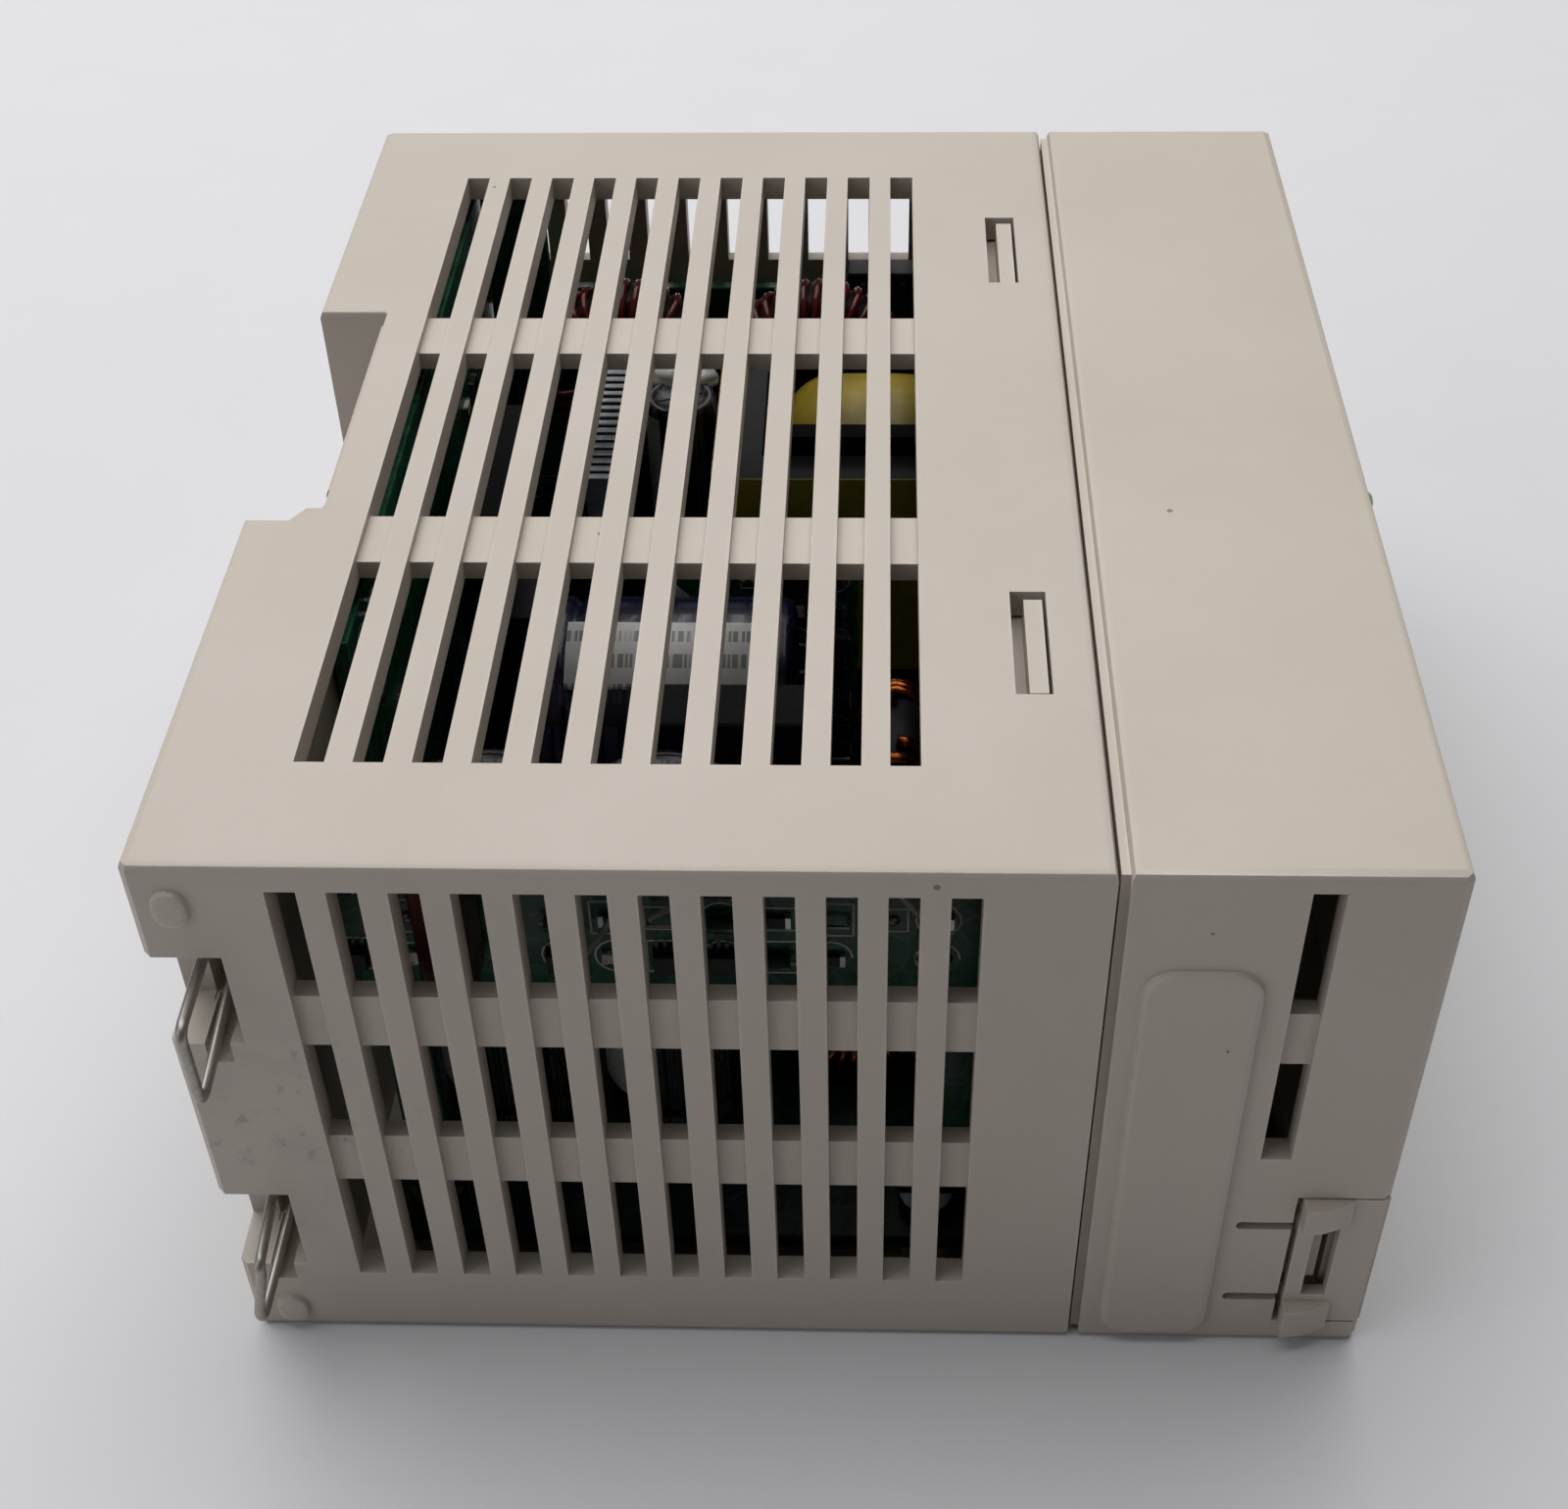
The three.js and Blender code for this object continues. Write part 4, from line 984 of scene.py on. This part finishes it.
class BoardFace:  # draws small solids on one face of a board
    def __init__(self, bm, corner, axes):
        self.bm, self.corner, self.axes = bm, corner, axes

    def spot(self, u, v, w):
        along, up, out = self.axes
        return self.corner + (along * u + up * v + out * w) * mm

    def chip(self, u, v, halfU, halfV, low, high, slot, draft=0.08):
        corners = []
        for w, inset in ((low, 0), (high, draft)):
            for su, sv in ((-1, -1), (1, -1), (1, 1), (-1, 1)):
                spot = self.spot(u + su * (halfU - inset), v + sv * (halfV - inset), w)
                corners.append(self.bm.verts.new(spot))
        closeBox(self.bm, corners, slot)

    def dome(self, u, v, radius, height, slot, sides=10):
        rings = []
        for share, lift in ((1, 0), (0.86, 0.45), (0.45, 0.85)):
            turns = [2 * math.pi * k / sides for k in range(sides)]
            reach, w = radius * share, height * lift
            spots = [self.spot(u + reach * math.cos(a), v + reach * math.sin(a), w) for a in turns]
            rings.append([self.bm.verts.new(spot) for spot in spots])
        tip = self.bm.verts.new(self.spot(u, v, height))
        for near, far in zip(rings, rings[1:]):
            joinRings(self.bm, near, far, slot)
        for k in range(sides):
            self.bm.faces.new((rings[-1][k], rings[-1][(k + 1) % sides], tip)).material_index = slot

    def line(self, points, slot, half=0.09):  # a printed stroke
        for (u0, v0), (u1, v1) in zip(points, points[1:]):
            length = math.hypot(u1 - u0, v1 - v0)
            su, sv = -(v1 - v0) / length * half, (u1 - u0) / length * half
            ends = [(u0 + su, v0 + sv), (u0 - su, v0 - sv), (u1 - su, v1 - sv), (u1 + su, v1 + sv)]
            corners = [self.bm.verts.new(self.spot(u, v, 0.03)) for u, v in ends]
            self.bm.faces.new(corners).material_index = slot


def fillCell(face, u, v, cell, tall, pick):
    half = cell * 0.36
    if pick.random() < 0.75:  # printed outline round the part
        if pick.random() < 0.35:
            turns = [2 * math.pi * k / 16 for k in range(pick.choice((12, 17)))]
            face.line([(u + half * 1.15 * math.cos(a), v + half * 1.15 * math.sin(a)) for a in turns], 3)
        else:
            w, h = half * 1.2, half * pick.choice((0.8, 1.15))
            face.line([(u - w, v - h), (u + w, v - h), (u + w, v + h), (u - w, v + h), (u - w, v - h)], 3)
    kind = pick.random()
    if kind < 0.3:  # chip resistor or capacitor with metal ends
        face.chip(u, v, 1.0, 0.62, 0.05, 0.55, pick.choice((0, 0, 4)))
        for side in (-1, 1):
            face.chip(u + side * 1.05, v, 0.25, 0.66, 0.0, 0.58, 1, 0.03)
    elif kind < 0.5:  # small package with legs
        face.chip(u, v, 1.5, 1.15, 0.15, min(1.3, tall), 0, 0.14)
        for i in range(4):
            for side in (-1, 1):
                face.chip(u - 1.1 + i * 0.73, v + side * 1.45, 0.15, 0.4, 0.0, 0.3, 1, 0.02)
    elif kind < 0.72:  # soldered pins
        for i in range(pick.choice((2, 3, 4))):
            face.dome(u - 1.4 + i * 1.1, v, 0.55, 0.62, 1)
    elif kind < 0.86:  # lead that crosses the board in a bent wire
        height = min(0.9, tall)
        ends = [(u - 1.6, 0.0), (u - 1.6, height), (u + 1.6, height), (u + 1.6, 0.0)]
        sweep(face.bm, [face.spot(a, v, w) for a, w in ends], 0.22 * mm, 6, 1)
    else:  # small barrel on leads
        sweep(face.bm, [face.spot(u + d, v, 0.8) for d in (-1.7, -1.2)], 0.2 * mm, 6, 1)
        sweep(face.bm, [face.spot(u + d, v, 0.8) for d in (-1.2, -1.0, 1.0, 1.2)], 0.7 * mm, 12, 2)
        sweep(face.bm, [face.spot(u + d, v, 0.8) for d in (1.2, 1.7)], 0.2 * mm, 6, 1)


def fitBoard(node):
    values = boardSettings[node]
    axes = boardAxes(values["face"])
    low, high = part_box(node)
    surface = {"-Y": (0, low.y, 0), "+X": (high.x, 0, 0), "+Z": (0, 0, high.z)}[values["face"]]
    corner = Vector(surface) + sum((a * caseCorner.dot(a) for a in axes[:2]), Vector())
    bm = bmesh.new()
    face = BoardFace(bm, corner, axes)
    pick = random.Random(values["seed"])
    cell = values["cell"]
    (lowU, lowV), (highU, highV) = values["low"], values["high"]
    for i in range(int((highU - lowU) / cell)):
        for j in range(int((highV - lowV) / cell)):
            u = lowU + (i + 0.5) * cell
            v = lowV + (j + 0.5) * cell
            covered = any(a < u < c and b < v < d for a, b, c, d in values["avoid"])
            if pick.random() > values["fill"] or covered:
                continue
            fillCell(face, u, v, cell, values["tall"], pick)
    for points, half in values.get("bars", []):
        face.line(points, 3, half)
    finishes = ["chip", "solder", "greenDisc", "print", "rotor"]
    finishMesh("fittedParts" + pieceName(node), bm, finishes, smooth=False)


# Glue, loose wires and the front label

glueSettings = {
    "lumps": [((37.0, 87.2, 49.9), (3.9, 1.9, 1.5), 3), ((43.4, 101.4, 46.6), (2.0, 1.2, 1.8), 12)],
    "roughness": 0.16,
}


def makeGlue():
    bm = bmesh.new()
    for centre, size, seed in glueSettings["lumps"]:
        made = bmesh.ops.create_icosphere(bm, subdivisions=4, radius=1)
        for vert in made["verts"]:
            push = 1 + glueSettings["roughness"] * noise.noise(vert.co * 1.6 + Vector((seed, 0, 0)))
            vert.co = at(*(c + s * v * push for c, s, v in zip(centre, size, vert.co)))
    finishMesh("glueLumps", bm, ["glue"])


connectorSettings = {
    "low": (54, 114.6, 33), "high": (67.4, 118.7, 47),
    "keys": 5, "firstKey": 1.6, "keyPitch": 2.3, "keyWidth": 1.1, "keyRise": 0.5, "keyMargin": 1,
}


def makeConnector():  # dark plug on the edge of the filter board
    values = connectorSettings
    low, high = Vector(values["low"]), Vector(values["high"])
    bm = bmesh.new()
    block(bm, at(*low), at(*high), taper=0.3 * mm)
    for i in range(values["keys"]):
        x = low.x + values["firstKey"] + i * values["keyPitch"]
        block(bm, at(x, low.y - values["keyRise"], low.z + values["keyMargin"]),
              at(x + values["keyWidth"], low.y + 0.4, high.z - values["keyMargin"]), taper=0.15 * mm)
    plug = finishMesh("filterBoardPlug", bm, ["terminal"])
    roundEdges(plug, 0.2 * mm, 3)


looseWires = {
    "radius": 0.3,
    "paths": [
        [(33, 9.8, 40), (36, 8.2, 46), (38.5, 7.6, 52), (37.5, 8.4, 56), (35, 10.8, 55)],
        [(56.5, 10.6, 54), (59, 8.6, 51), (61.5, 8.2, 47.5), (63, 10.8, 44)],
        [(60.5, 11.0, 48), (58.5, 8.0, 52), (61, 6.8, 56), (65, 8.2, 55), (66.5, 10.9, 50)],
        [(39, 10.9, 44), (42, 9.4, 47.5), (44.5, 8.8, 52), (45, 10.9, 54)],
    ],
}


def smoothPath(points, steps=8):  # a curve through every point
    ends = [points[0] * 2 - points[1]] + points + [points[-1] * 2 - points[-2]]
    path = []
    for a, b, c, d in zip(ends, ends[1:], ends[2:], ends[3:]):
        for k in range(steps):
            t = k / steps
            bow, twist = a * 2 - b * 5 + c * 4 - d, b * 3 - a - c * 3 + d
            path.append(0.5 * (b * 2 + (c - a) * t + bow * t ** 2 + twist * t ** 3))
    return path + [points[-1]]


def makeLooseWires():
    bm = bmesh.new()
    for points in looseWires["paths"]:
        sweep(bm, smoothPath([at(*p) for p in points]), looseWires["radius"] * mm, 10)
    finishMesh("jumperWires", bm, ["clearSleeve"])


frontLabelSettings = {  # low and high are Y and Z
    "low": (8.4, 27.4), "high": (41.6, 55.6), "x": (102.72, 102.92), "corner": 1.2, "steps": 6,
}


def makeFrontLabel():
    values = frontLabelSettings
    corner = values["corner"]
    bm = bmesh.new()
    rings = []
    for x in values["x"]:
        ring = []
        for cy, cz, angle in roundedCorners(values["low"], values["high"], corner, values["steps"]):
            spot = at(x, cy + corner * math.cos(angle), cz + corner * math.sin(angle))
            ring.append(bm.verts.new(spot))
        rings.append(ring)
        bm.faces.new(ring)
    joinRings(bm, *rings)
    finishMesh("frontRatingLabel", bm, ["frontLabel"], smooth=False)


makeCamera()
makeStudio()
makeFloor()
for nodeName in nodes:
    dressNode(nodeName)
print("frame dressed")

random.seed(4)
for side in ("right", "left"):
    makePullLoop(side)
    makeSpring(side)
print("loops and springs made")

makeBulkCapacitor()
for canNode in canSettings["cans"]:
    makeCan(canNode)
for ringNode in toroidSettings:
    makeToroid(ringNode)
makeTapeWrap()
makeCoreTape()
print("large components made")

for boardNode in boardSettings:
    fitBoard(boardNode)
makeConnector()
makeGlue()
makeLooseWires()
makeFrontLabel()
print("boards fitted")
